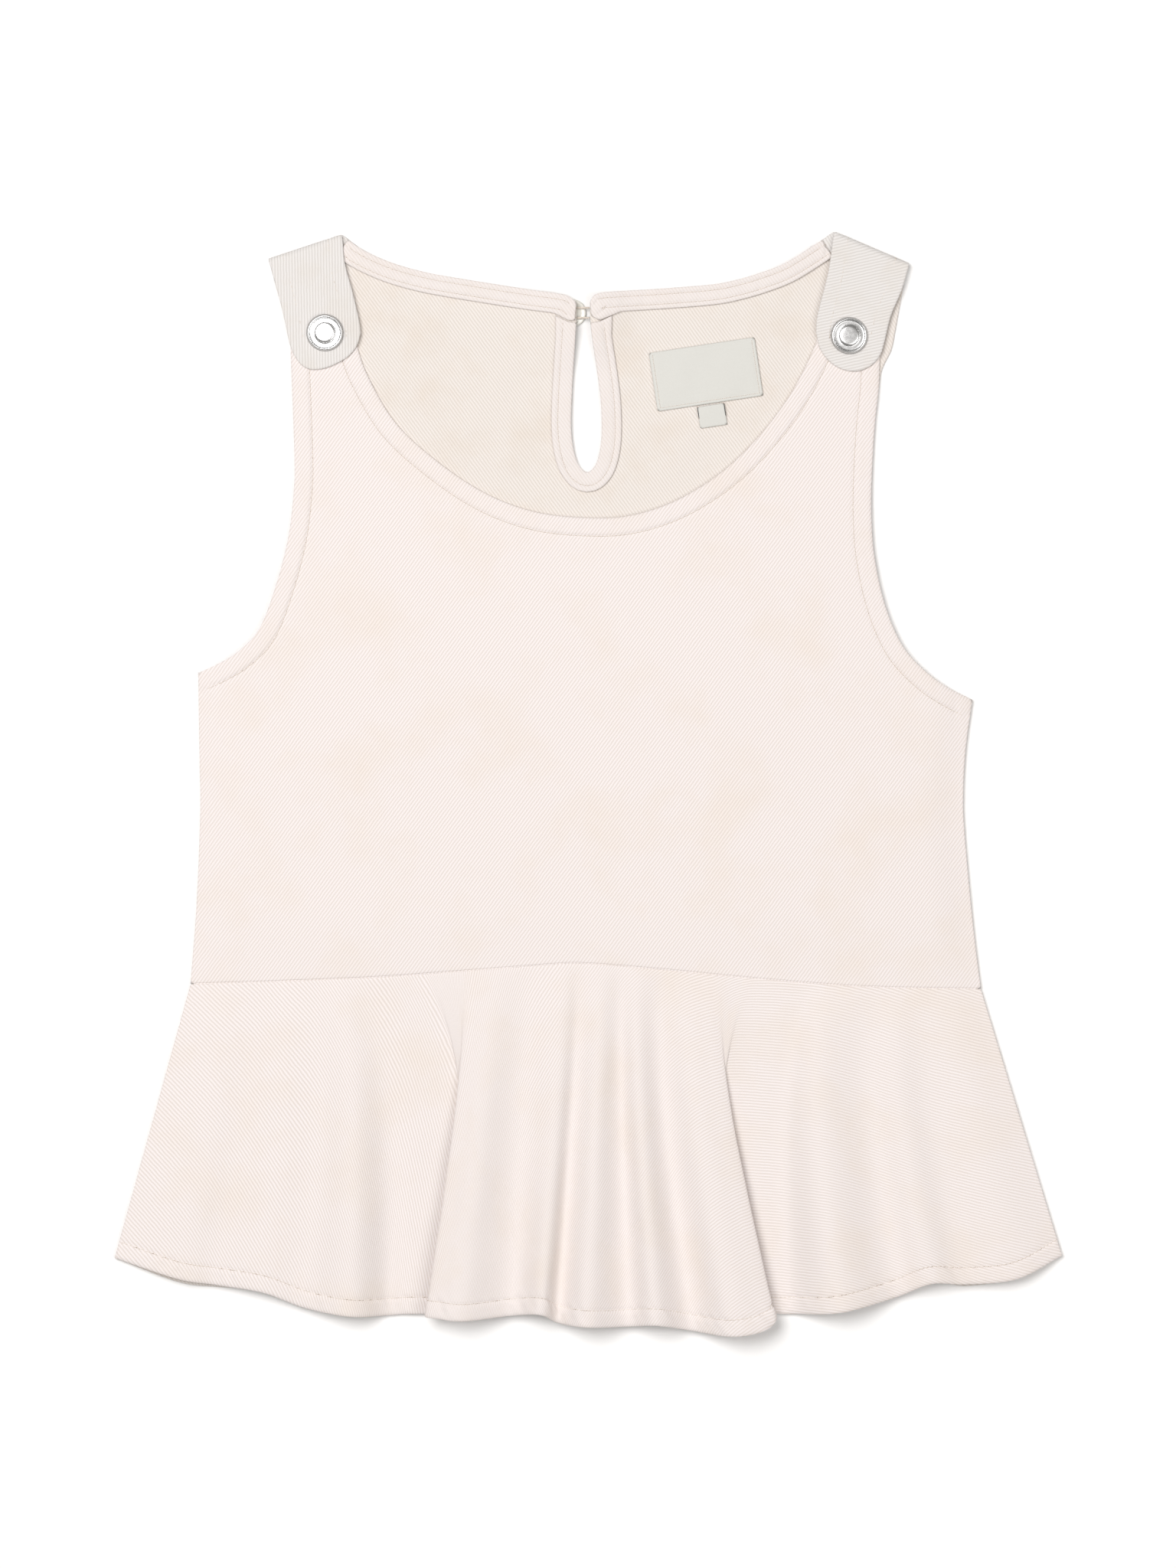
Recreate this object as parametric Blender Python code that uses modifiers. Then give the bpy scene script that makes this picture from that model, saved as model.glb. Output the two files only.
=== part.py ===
"""A child's sleeveless peplum top in heavy cotton twill, laid flat, front up.

Every size is in millimetres and is turned into metres where a mesh is made. X runs to the right of the front
as it is seen, Y towards the neck and Z up from the surface that the top lies on. The origin is the middle of
the top's outline, on that surface.
"""
import math

import bmesh
import bpy
import numpy as np
from mathutils.geometry import delaunay_2d_cdt

MM = 0.001

# Cloth and the layers it lies in
CLOTH = 1.1          # one layer of the twill
STRIP = 1.0          # turned-in strips, label and tab
STRAP = 1.4          # strap with its own facing
GAP = 0.3            # clear space at seams and between layers
BACK_MID = CLOTH / 2
FRONT_MID = 1.5 * CLOTH + GAP
STRAP_OVER_FRONT = CLOTH / 2 + STRAP / 2 + 0.5
FRONT_PUFF = 2.2     # how far the front stands off the back in the middle
SIDE_ROLL = 20.0     # width over which the front comes down to a side seam

# Waist seam, from the left side seam to the right one
WAIST = [
    (-187.0, -94.1), (-143.5, -92.7), (-99.9, -90.9), (-55.6, -87.7), (-18.5, -84.9), (0.0, -84.5),
    (36.5, -87.4), (77.2, -91.3), (128.7, -95.2), (184.5, -96.4),
]

# Side seams, upwards from the waist
SIDE_LEFT = [(-187.0, -94.1), (-184.1, -56.3), (-182.4, -13.1), (-182.7, 8.5), (-183.4, 52.0)]
SIDE_RIGHT = [(184.5, -96.4), (180.9, -67.1), (176.9, -23.9), (176.2, -5.9), (177.3, 15.7), (180.5, 39.4)]

# Front: armholes run upwards from the side seams, the neck runs from the left shoulder to the right one
FRONT_ARM_LEFT = [
    (-183.4, 52.0), (-173.5, 56.5), (-164.0, 62.5), (-154.3, 73.3), (-146.3, 94.9), (-140.9, 116.5),
    (-138.4, 138.1), (-138.1, 152.5), (-139.1, 181.3), (-140.0, 206.0), (-139.5, 222.0),
]
FRONT_NECK = [
    (-112.5, 222.0), (-108.9, 206.5), (-103.5, 191.3), (-90.5, 169.4), (-70.4, 151.0), (-48.1, 136.3),
    (-26.1, 128.0), (-3.8, 125.1), (18.2, 125.8), (40.5, 132.7), (62.5, 146.3), (80.8, 164.0),
    (95.6, 184.1), (106.7, 206.5), (110.8, 222.0),
]
FRONT_ARM_RIGHT = [
    (180.5, 39.4), (169.7, 44.8), (159.7, 51.7), (149.2, 62.5), (142.6, 75.0), (138.1, 88.5), (135.2, 102.1),
    (133.4, 116.5), (133.0, 138.1), (134.5, 166.9), (136.5, 186.0), (137.2, 205.0), (138.0, 222.0),
]

# Back: as the front, a little inside its armholes, up to the straps' seams
BACK_ARM_LEFT = [
    (-183.4, 52.0), (-172.5, 55.8), (-163.0, 61.5), (-153.0, 72.5), (-144.9, 94.5), (-139.5, 116.5),
    (-137.0, 138.1), (-136.8, 152.5), (-137.8, 181.3), (-140.0, 205.0), (-143.6, 221.5),
]
BACK_ARM_RIGHT = [
    (180.5, 39.4), (169.0, 44.0), (158.7, 50.9), (148.0, 62.0), (141.2, 74.6), (136.8, 88.4), (133.9, 102.1),
    (132.1, 116.5), (131.8, 138.1), (133.4, 166.9), (136.4, 184.9), (138.1, 194.9), (142.4, 203.9),
    (144.4, 213.7),
]
BACK_NECK_LEFT = [
    (-100.3, 248.0), (-91.3, 244.4), (-80.5, 241.3), (-69.7, 239.0), (-48.1, 235.4), (-26.5, 232.0),
    (-15.7, 230.5), (-9.4, 229.0), (-5.6, 226.0),
]
BACK_NECK_RIGHT = [
    (0.8, 226.6), (4.1, 230.2), (14.9, 231.4), (36.5, 232.8), (58.1, 234.6), (68.9, 236.6), (79.7, 239.7),
    (90.5, 243.7), (99.0, 248.5),
]
KEYHOLE = [
    (-5.6, 226.0), (-5.6, 218.0), (-6.2, 208.0), (-7.0, 195.7), (-7.8, 181.3), (-8.1, 168.0), (-7.1, 158.0),
    (-4.6, 150.0), (-0.6, 146.3), (3.2, 149.6), (5.5, 157.0), (6.3, 167.0), (5.7, 181.3), (3.8, 195.7),
    (1.9, 208.0), (0.8, 218.0), (0.8, 226.6),
]

# Straps: the shoulder line that each folds over, its two edges from the fold to the tab, and the tab's end.
# The back part runs on under the fold for STRAP_BACK.
STRAP_BACK = 10.0
STRAPS = {
    "strap_left": {
        "fold": [(-150.3, 246.1), (-115.7, 257.6)],
        "left": [(-150.3, 246.1), (-146.8, 234.0), (-143.6, 221.3), (-140.6, 207.2)],
        "tab": [
            (-140.6, 207.2), (-138.6, 202.1), (-135.9, 197.8), (-132.7, 195.3), (-128.4, 194.5),
            (-122.2, 195.7), (-114.9, 199.2), (-111.1, 202.4), (-108.5, 206.3), (-107.0, 211.5),
        ],
        "right": [(-107.0, 211.5), (-107.7, 217.6), (-110.9, 231.5), (-114.4, 244.5), (-115.7, 257.6)],
        "back_left": [(-150.3, 246.1), (-147.6, 236.1)],
        "back_right": [(-115.7, 257.6), (-107.5, 251.8), (-104.9, 250.4)],
    },
    "strap_right": {
        "fold": [(115.4, 259.0), (150.7, 243.9)],
        "left": [(115.4, 259.0), (112.6, 240.0), (107.7, 220.5), (106.9, 212.3)],
        "tab": [
            (106.9, 212.3), (108.7, 204.6), (112.7, 198.9), (118.2, 195.1), (124.6, 193.7), (130.6, 195.1),
            (134.9, 198.3), (137.6, 202.4), (139.2, 207.9),
        ],
        "right": [(139.2, 207.9), (142.2, 220.0), (147.3, 232.0), (150.7, 243.9)],
        "back_left": [(115.4, 259.0), (108.5, 254.7), (104.6, 252.3)],
        "back_right": [(150.7, 243.9), (148.1, 233.8)],
    },
}

# Strips turned in along the back neck, and round the keyhole
NECK_STRIP_WIDTH = 9.5
NECK_STRIP_ENDS = {"left": -113.0, "right": 110.8}
NECK_STRIP_TIPS = {"left": [(-9.5, 217.6), (-6.4, 217.6)], "right": [(1.3, 219.8), (5.2, 217.6)]}
FACING_WIDTH = 9.3

# Label and its tab: middle, width, height, and the angle they are sewn at
LABEL = {"middle": (55.3, 192.4), "size": (50.2, 27.8), "angle": 8.6, "corner": 0.6}
TAB = {"middle": (58.2, 172.9), "size": (12.9, 10.2), "angle": 8.6, "corner": 0.4}

# Metal snaps: places of the two, and the turned profile of one, radius and height over its seat
SNAP_PLACES = {"snap_cap_left": (-123.8, 211.8), "snap_cap_right": (122.6, 210.5)}
SNAP_PROFILE = [
    (0.0, 2.25), (3.2, 2.2), (4.4, 2.05), (4.8, 1.6), (5.2, 1.2), (6.9, 1.15), (7.3, 1.7), (7.8, 1.95),
    (8.25, 1.6), (8.4, 0.9), (8.1, 0.1), (0.0, 0.0),
]
SNAP_STEPS = 24

# Button behind the keyhole's left side, and the loop that goes round its neck
BUTTON_PLACE = (-7.4, 221.2)
BUTTON_PROFILE = [
    (0.0, 3.0), (1.4, 3.0), (1.4, 1.5), (5.9, 1.4), (6.25, 1.0), (6.25, 0.5), (5.9, 0.0), (0.0, 0.0),
]
BUTTON_STEPS = 24
BUTTON_LIFT = 3.3        # height of the back's underside over the button
LIFT_FLAT = 9.0          # it stays so high out to this distance from the button
LIFT_RUN = 26.0          # and comes down to the surface over this one
LOOP_RADIUS = 0.55
LOOP_BEND = 2.35
LOOP_HEIGHT = 2.4
LOOP_END = 0.45
LOOP_END_HEIGHT = BUTTON_LIFT + CLOTH / 2

# The peplum is cut as a sector of a ring. A row is one line of its cloth from the waist seam to the hem:
# angle is its angle in the cut, top where its fold points at the seam, hem_x and hem_y where it ends, and
# height how high its middle lies at the hem. Where top and hem_x run back, the cloth folds over itself.
SECTOR = 85.5
SEAM_SHARE = 0.5
FOLD_RISE = 0.7
FRONT_FOLDS = [
    # angle   top     hem_x   hem_y   height
    (-85.5, -187.0, -222.7, -223.0, 1.95),
    (-79.0, -168.7, -193.1, -232.7, 6.5),
    (-74.0, -151.0, -174.8, -235.6, 4.5),
    (-69.0, -136.3, -152.5, -239.2, 8.0),
    (-64.5, -120.1, -133.0, -246.4, 5.5),
    (-59.0, -107.5, -111.8, -250.2, 12.5),
    (-53.5, -93.8, -95.2, -250.0, 2.3),
    (-49.5, -78.7, -83.0, -249.3, 2.5),
    (-44.0, -67.3, -56.3, -249.7, 2.6),
    (-42.0, -60.7, -46.8, -250.0, 4.9),
    (-39.0, -58.5, -55.3, -250.2, 7.4),
    (-31.0, -54.2, -66.4, -250.4, 8.6),
    (-27.5, -51.7, -76.1, -250.4, 10.8),
    (-25.0, -47.6, -70.7, -251.1, 13.8),
    (-20.0, -40.9, -58.5, -252.2, 15.5),
    (-12.0, -29.0, -36.2, -250.0, 5.5),
    (-6.0, -10.3, -22.5, -249.3, 15.0),
    (-2.0, -2.0, -14.2, -253.3, 6.5),
    (3.0, 7.0, -0.5, -255.1, 16.0),
    (9.0, 12.3, 18.9, -255.1, 5.5),
    (13.5, 18.5, 32.2, -254.3, 15.5),
    (19.5, 25.7, 49.1, -257.2, 4.6),
    (26.0, 35.8, 67.1, -259.4, 16.0),
    (30.0, 45.5, 81.5, -257.2, 14.2),
    (32.0, 50.9, 87.7, -252.2, 10.8),
    (36.0, 53.8, 77.9, -250.4, 8.6),
    (43.0, 56.7, 65.8, -250.0, 7.4),
    (46.0, 59.1, 59.9, -249.7, 4.9),
    (48.5, 66.8, 67.1, -249.3, 2.6),
    (52.5, 77.9, 86.2, -249.3, 2.5),
    (56.0, 87.7, 96.7, -249.3, 2.3),
    (61.0, 97.7, 118.6, -248.2, 15.0),
    (68.5, 119.3, 144.5, -241.4, 4.4),
    (73.5, 133.7, 161.1, -234.9, 10.0),
    (78.0, 147.5, 177.7, -235.3, 5.5),
    (82.0, 166.9, 201.4, -232.7, 7.5),
    (85.5, 184.5, 222.7, -221.9, 1.95),
]
BACK_FOLDS = [
    # angle   top     hem_x   hem_y   height
    (-85.5, -187.0, -222.7, -223.0, 0.55),
    (-79.0, -168.7, -193.1, -234.1, 1.6),
    (-74.0, -151.0, -174.8, -236.6, 0.55),
    (-67.0, -136.3, -152.5, -238.0, 2.6),
    (-61.0, -120.1, -133.0, -245.0, 0.55),
    (-54.0, -107.5, -113.0, -248.8, 4.0),
    (-47.0, -93.8, -97.0, -248.8, 0.55),
    (-39.0, -78.7, -80.0, -248.5, 0.55),
    (-27.0, -52.7, -56.0, -248.8, 0.55),
    (-15.0, -29.0, -36.2, -248.8, 0.55),
    (-8.0, -12.3, -22.5, -248.0, 4.6),
    (-3.0, -4.0, -13.2, -251.6, 0.8),
    (3.0, 5.0, -0.5, -253.6, 4.8),
    (9.0, 12.3, 18.9, -253.8, 0.55),
    (15.0, 20.5, 32.2, -253.0, 4.4),
    (22.0, 31.0, 49.1, -255.0, 0.55),
    (30.0, 45.5, 68.0, -255.0, 0.55),
    (38.0, 62.0, 84.0, -249.0, 0.55),
    (47.0, 87.7, 98.7, -248.0, 0.55),
    (56.0, 102.7, 119.6, -246.8, 4.6),
    (64.0, 119.3, 144.5, -240.2, 0.55),
    (71.0, 135.7, 161.1, -234.0, 2.8),
    (76.0, 147.5, 177.7, -236.2, 0.55),
    (81.0, 166.9, 201.4, -232.2, 2.0),
    (85.5, 184.5, 222.7, -221.9, 0.55),
]
PEPLUM_PER_FOLD = 2
PEPLUM_ROWS = 13
SEAM_DROP = 0.5          # the peplum's edge lies this much under the bodice's at the waist seam

# Mesh steps
PANEL_STEP = 22.0
TRIM_STEP = 12.0
LIFT_STEP = 7.0

COLOURS = {
    "twill": ((0.88, 0.82, 0.77), 0.9, 0.0),
    "twill_inside": ((0.84, 0.78, 0.71), 0.9, 0.0),
    "label_cloth": ((0.66, 0.65, 0.61), 0.8, 0.0),
    "steel": ((0.62, 0.62, 0.62), 0.3, 1.0),
    "button_resin": ((0.83, 0.82, 0.78), 0.35, 0.0),
}


def fresh_scene():
    """Takes away what the scene holds and makes the top's own collection."""
    for old in list(bpy.data.objects):
        bpy.data.objects.remove(old, do_unlink=True)
    home = bpy.data.collections.new("peplum_top")
    bpy.context.scene.collection.children.link(home)
    return home


def material(name):
    colour, roughness, metallic = COLOURS[name]
    made = bpy.data.materials.get(name) or bpy.data.materials.new(name)
    made.use_nodes = True
    shader = made.node_tree.nodes["Principled BSDF"]
    shader.inputs["Base Color"].default_value = (*colour, 1.0)
    shader.inputs["Roughness"].default_value = roughness
    shader.inputs["Metallic"].default_value = metallic
    return made


def ease(share):
    """0 below 0, 1 above 1 and a smooth step between."""
    held = min(max(share, 0.0), 1.0)
    return held * held * (3.0 - 2.0 * held)


def spline(points, per):
    """A smooth curve through the points, with per steps between two of them."""
    known = [np.array(p, float) for p in points]
    ends = [2 * known[0] - known[1], *known, 2 * known[-1] - known[-2]]
    curve = []
    for a, b, c, d in zip(ends, ends[1:], ends[2:], ends[3:]):
        for step in range(per):
            t = step / per
            curve.append(
                0.5 * (2 * b + (c - a) * t + (2 * a - 5 * b + 4 * c - d) * t**2
                       + (3 * b - a - 3 * c + d) * t**3)
            )
    curve.append(known[-1])
    return curve


def joined(*curves):
    """One closed outline from curves that meet end to end."""
    outline = []
    for curve in curves:
        for point in curve:
            if not outline or math.dist(outline[-1], point) > 0.01:
                outline.append(tuple(float(x) for x in point))
    if math.dist(outline[0], outline[-1]) < 0.01:
        outline.pop()
    return outline


def along(curve, key, at):
    """The other coordinate of a curve where its coordinate number key is at."""
    ordered = sorted(curve, key=lambda p: p[key])
    return float(np.interp(at, [p[key] for p in ordered], [p[1 - key] for p in ordered]))


def shifted(curve, by):
    """The curve moved by that many millimetres to its left, as it runs."""
    points = [np.array(p, float) for p in curve]
    moved = []
    for i, point in enumerate(points):
        run = points[min(i + 1, len(points) - 1)] - points[max(i - 1, 0)]
        run /= np.linalg.norm(run)
        moved.append(point + by * np.array([-run[1], run[0]]))
    return moved


def inside(point, outline):
    x, y = point
    hit = False
    for (x0, y0), (x1, y1) in zip(outline, outline[1:] + outline[:1]):
        if (y0 > y) != (y1 > y) and x < (x1 - x0) * (y - y0) / (y1 - y0) + x0:
            hit = not hit
    return hit


def filled(outline, extra):
    """Triangles that fill an outline, through the extra points inside it."""
    edges = [(i, (i + 1) % len(outline)) for i in range(len(outline))]
    points = [tuple(p) for p in outline] + [tuple(p) for p in extra]
    verts, _, faces, *_ = delaunay_2d_cdt(points, edges, [list(range(len(outline)))], 1, 0.001)
    flat = [(v[0], v[1]) for v in verts]
    faces = [f for f in faces if inside(np.mean([flat[i] for i in f], axis=0), outline)]
    return flat, faces


def grid_inside(outline, step):
    """Points of a square grid that lie inside an outline and clear of it."""
    ring = np.array(outline)
    low, high = ring.min(axis=0), ring.max(axis=0)
    found = []
    for x in np.arange(low[0] + step / 2, high[0], step):
        for y in np.arange(low[1] + step / 2, high[1], step):
            clear = np.hypot(ring[:, 0] - x, ring[:, 1] - y).min() > 0.45 * step
            if clear and inside((x, y), outline):
                found.append((x, y))
    return found


def mesh_object(name, verts, faces, colour, thickness=0.0):
    """An object from points in millimetres, and a wall of that thickness if one is given."""
    mesh = bpy.data.meshes.new(name)
    mesh.from_pydata([[c * MM for c in v] for v in verts], [], [list(f) for f in faces])
    shape = bmesh.new()
    shape.from_mesh(mesh)
    bmesh.ops.recalc_face_normals(shape, faces=shape.faces)
    shape.to_mesh(mesh)
    shape.free()
    mesh.materials.append(material(colour))
    made = bpy.data.objects.new(name, mesh)
    home.objects.link(made)
    if thickness:
        wall = made.modifiers.new("wall", "SOLIDIFY")
        wall.thickness = thickness * MM
        wall.offset = 0.0
    return made


def panel(name, outline, middle, step, thickness, colour, extra=()):
    """A wall of cloth: the outline, filled, with its middle at the height that middle(x, y) gives."""
    flat, faces = filled(outline, [*grid_inside(outline, step), *extra])
    verts = [(x, y, middle(x, y)) for x, y in flat]
    return mesh_object(name, verts, faces, colour, thickness)


def turned(name, place, seat, profile, steps, colour):
    """A turned piece: its profile, closed on the axis, round a vertical axis at place."""
    mesh = bpy.data.meshes.new(name)
    mesh.from_pydata([(r * MM, 0.0, z * MM) for r, z in profile], [(i, i + 1) for i in range(len(profile) - 1)], [])
    mesh.materials.append(material(colour))
    made = bpy.data.objects.new(name, mesh)
    made.location = (place[0] * MM, place[1] * MM, seat * MM)
    home.objects.link(made)
    screw = made.modifiers.new("turn", "SCREW")
    screw.steps = steps
    screw.render_steps = steps
    screw.use_merge_vertices = True
    screw.merge_threshold = 0.00001
    screw.use_normal_calculate = True
    return made


# Heights of the layers

WAIST_CURVE = spline(WAIST, 4)
LEFT_CURVE = spline(SIDE_LEFT, 3)
RIGHT_CURVE = spline(SIDE_RIGHT, 3)


def from_side(x, y):
    """Distance to the nearer side seam."""
    return min(x - along(LEFT_CURVE, 1, y), along(RIGHT_CURVE, 1, y) - x)


def back_middle(x, y):
    away = math.dist((x, y), BUTTON_PLACE)
    return BACK_MID + BUTTON_LIFT * (1.0 - ease((away - LIFT_FLAT) / LIFT_RUN))


def front_middle(x, y):
    sideways = ease(from_side(x, y) / SIDE_ROLL)
    upwards = 1.0 - ease((y - 40.0) / 140.0)
    at_waist = 0.55 + 0.45 * ease((y + 96.0) / 35.0)
    return FRONT_MID + FRONT_PUFF * sideways * upwards * at_waist


def strap_middle(x, y):
    return front_middle(x, y) + STRAP_OVER_FRONT


def neck_strip_middle(x, y):
    return back_middle(x, y) - BACK_MID + STRAP + GAP + STRIP / 2


def on_back_middle(x, y):
    return back_middle(x, y) + CLOTH / 2 + GAP + STRIP / 2


# Bodice

def waist_edge(curve):
    """The bodice's edge at the waist, half a gap above the seam line."""
    return [(x, y + GAP / 2) for x, y in curve]


def bodice():
    left_side = [(x, y) for x, y in LEFT_CURVE[1:]]
    right_side = [(x, y) for x, y in RIGHT_CURVE[1:]]
    waist = waist_edge(WAIST_CURVE)
    front = joined(
        waist, right_side, spline(FRONT_ARM_RIGHT, 2), spline(FRONT_NECK, 3)[::-1],
        spline(FRONT_ARM_LEFT, 2)[::-1], left_side[::-1],
    )
    panel("front_bodice", front, front_middle, PANEL_STEP, CLOTH, "twill")
    seams = {name: strap_seam(STRAPS[name], STRAP_BACK + GAP) for name in STRAPS}
    arm_right = spline([*BACK_ARM_RIGHT, seams["strap_right"][1]], 2)
    arm_left = spline([*BACK_ARM_LEFT, seams["strap_left"][0]], 2)
    neck_right = spline([*BACK_NECK_RIGHT, seams["strap_right"][0]], 2)
    neck_left = spline([seams["strap_left"][1], *BACK_NECK_LEFT], 2)
    back = joined(
        waist, right_side, arm_right, neck_right[::-1], spline(KEYHOLE, 2)[::-1], neck_left[::-1],
        arm_left[::-1], left_side[::-1],
    )
    near = [p for p in grid_inside(back, LIFT_STEP) if math.dist(p, BUTTON_PLACE) < LIFT_FLAT + LIFT_RUN]
    panel("back_bodice", back, back_middle, PANEL_STEP, CLOTH, "twill_inside", near)


# Straps

def fold_frame(strap):
    """Start, direction along the fold, direction into the top, and length of a strap's fold line."""
    a, b = (np.array(p) for p in strap["fold"])
    run = (b - a) / np.linalg.norm(b - a)
    return a, run, np.array([run[1], -run[0]]), float(np.linalg.norm(b - a))


def strap_seam(strap, depth):
    """The two ends of a line across the strap's back part, at a depth under the fold."""
    a, _, inward, _ = fold_frame(strap)
    ends = []
    for side in ("back_left", "back_right"):
        curve = [np.array(p) for p in strap[side]]
        curve.append(2 * curve[-1] - curve[-2])
        depths = [float(np.dot(p - a, inward)) for p in curve]
        ends.append(tuple(float(np.interp(depth, depths, [p[k] for p in curve])) for k in (0, 1)))
    return ends


def strap(name):
    """A strap cut flat across its fold, then rolled over the shoulder line."""
    form = STRAPS[name]
    a, run, inward, _ = fold_frame(form)
    low, high = STRAP / 2, FRONT_MID + STRAP_OVER_FRONT
    radius = (high - low) / 2
    quarter = math.pi * radius / 2

    def unrolled(point, side):
        offset = np.array(point) - a
        depth = max(float(np.dot(offset, inward)), 0.0)
        if depth < radius:
            length = radius * math.acos(1.0 - depth / radius)
        else:
            length = depth - radius + quarter
        return float(np.dot(offset, run)), side * length

    def rolled(t, s):
        if abs(s) < quarter:
            depth = radius * (1.0 - math.cos(s / radius))
            height = low + radius * (1.0 + math.sin(s / radius))
        else:
            depth = abs(s) - quarter + radius
            height = low if s < 0 else high
        x, y = a + run * t + inward * depth
        if s > quarter:
            height += strap_middle(x, y) - high
        return x, y, height

    bands = [quarter * k / 3 for k in range(-3, 4)]

    def edge(front, back):
        """One edge in flat cloth, from the tab to the back seam, with a point at each band."""
        points = [unrolled(p, 1) for p in front]
        points += [unrolled(p, -1) for p in back if np.dot(np.array(p) - a, inward) < STRAP_BACK + 0.01]
        points = sorted({(round(s, 4), round(t, 4)) for t, s in points}, reverse=True)
        spans = [s for s, _ in points]
        extra = [s for s in bands if min(abs(s - k) for k in spans) > 0.25]
        every = sorted(spans + extra, reverse=True)
        return [(float(np.interp(s, spans[::-1], [t for _, t in points][::-1])), s) for s in every]

    seam = strap_seam(form, STRAP_BACK)
    left = edge(spline(form["left"], 3)[::-1], [*form["back_left"], seam[0]])
    right = edge(spline(form["right"], 3), [*form["back_right"], seam[1]])
    tab = [unrolled(p, 1) for p in spline(form["tab"], 2)]
    outline = joined(tab, right, left[::-1])
    width = max(t for t, _ in outline)
    extra = []
    for s in bands:
        extra += [(t, s) for t in np.arange(6.0, width - 4.0, 7.0)]
    extra += [p for p in grid_inside(outline, 8.0) if abs(p[1]) > quarter + 2.5]
    extra = [p for p in extra if inside(p, outline)]
    flat, faces = filled(outline, extra)
    mesh_object(name, [rolled(t, s) for t, s in flat], faces, "twill", STRAP)


# Peplum

def seam_place(angle):
    """X on the waist seam of the cloth at an angle of the cut."""
    share = (angle + SECTOR) / (2 * SECTOR)
    return WAIST[0][0] + share * (WAIST[-1][0] - WAIST[0][0])


def peplum(name, folds, side_height, middle_height, colour):
    """A loft from the waist seam to the hem through the fold rows."""
    rows = spline(folds, PEPLUM_PER_FOLD)
    verts = []
    for down in range(PEPLUM_ROWS):
        v = down / (PEPLUM_ROWS - 1)
        for angle, top, hem_x, hem_y, height in rows:
            seam_x = (1 - SEAM_SHARE) * top + SEAM_SHARE * seam_place(angle)
            seam_x = min(max(seam_x, WAIST[0][0]), WAIST[-1][0])
            seam_y = along(WAIST_CURVE, 0, seam_x) - GAP / 2
            from_edge = min(seam_x - WAIST[0][0], WAIST[-1][0] - seam_x)
            seam_z = side_height + (middle_height - side_height) * ease(from_edge / SIDE_ROLL)
            x = top + (hem_x - top) * v + (seam_x - top) * (1 - v) ** 4
            y = seam_y + (hem_y - seam_y) * v
            z = max(seam_z + (height - seam_z) * v**FOLD_RISE, side_height)
            verts.append((x, y, z))
    count = len(rows)
    faces = []
    for down in range(PEPLUM_ROWS - 1):
        for i in range(count - 1):
            start = down * count + i
            faces.append((start, start + count, start + count + 1, start + 1))
    mesh_object(name, verts, faces, colour, CLOTH)


# Strips turned in at the back neck and keyhole

def neck_strip(side):
    """The strip along one half of the back neck."""
    form = STRAPS[f"strap_{side}"]
    if side == "left":
        edge = spline([*form["back_right"][:-1], *BACK_NECK_LEFT], 3)
        edge = [p for p in edge if p[0] > NECK_STRIP_ENDS[side]]
        inner = shifted(edge, -NECK_STRIP_WIDTH)
        inner = [p for p in inner if p[0] < -16.0]
        outline = joined(inner, NECK_STRIP_TIPS[side], edge[::-1])
    else:
        edge = spline([*BACK_NECK_RIGHT, *form["back_left"][:-1][::-1]], 3)
        edge = [p for p in edge if p[0] < NECK_STRIP_ENDS[side]]
        inner = shifted(edge, -NECK_STRIP_WIDTH)
        inner = [p for p in inner if p[0] > 14.0]
        outline = joined(edge[::-1], NECK_STRIP_TIPS[side], inner)
    panel(f"neck_strip_{side}", outline, neck_strip_middle, TRIM_STEP, STRIP, "twill_inside")


def keyhole_facing():
    """A band round the keyhole, up to the strips on both sides."""
    edge = [p for p in spline(KEYHOLE, 3) if p[1] < 216.5]
    outer = shifted(edge, -FACING_WIDTH)
    outer = [(x, y) for x, y in outer if y < 216.5]
    panel("keyhole_facing", joined(edge, outer[::-1]), on_back_middle, TRIM_STEP, STRIP, "twill_inside")


def plate(name, form):
    """A small sewn-on rectangle with slightly cut corners, turned by its angle."""
    (cx, cy), (width, height) = form["middle"], form["size"]
    turn = math.radians(form["angle"])
    cut = form["corner"]
    corners = []
    for sx, sy in ((1, -1), (1, 1), (-1, 1), (-1, -1)):
        first = (sx * (width / 2 - cut), sy * height / 2)
        second = (sx * width / 2, sy * (height / 2 - cut))
        corners += [first, second] if sx * sy < 0 else [second, first]
    outline = [
        (cx + x * math.cos(turn) - y * math.sin(turn), cy + x * math.sin(turn) + y * math.cos(turn))
        for x, y in corners
    ]
    panel(name, outline, on_back_middle, TRIM_STEP, STRIP, "label_cloth")


# Button loop

def button_loop():
    """A cord loop from the keyhole's right edge, round the button's neck and back."""
    cx, cy = BUTTON_PLACE
    runs = [(LOOP_END, LOOP_END_HEIGHT), (-1.5, 3.3), (-3.6, 2.7), (-5.2, LOOP_HEIGHT)]
    out = [(x, cy + LOOP_BEND, z) for x, z in runs]
    turn = [
        (cx + LOOP_BEND * math.cos(math.radians(d)), cy + LOOP_BEND * math.sin(math.radians(d)), LOOP_HEIGHT)
        for d in range(90, 271, 30)
    ]
    home_run = [(x, cy - LOOP_BEND, z) for x, z in runs[::-1]]
    route = [*out, *turn, *home_run]
    curve = bpy.data.curves.new("button_loop", "CURVE")
    curve.dimensions = "3D"
    curve.bevel_depth = LOOP_RADIUS * MM
    curve.bevel_resolution = 2
    curve.use_fill_caps = True
    line = curve.splines.new("POLY")
    line.points.add(len(route) - 1)
    for point, place in zip(line.points, route):
        point.co = (*[c * MM for c in place], 1.0)
    curve.materials.append(material("twill_inside"))
    home.objects.link(bpy.data.objects.new("button_loop", curve))


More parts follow.
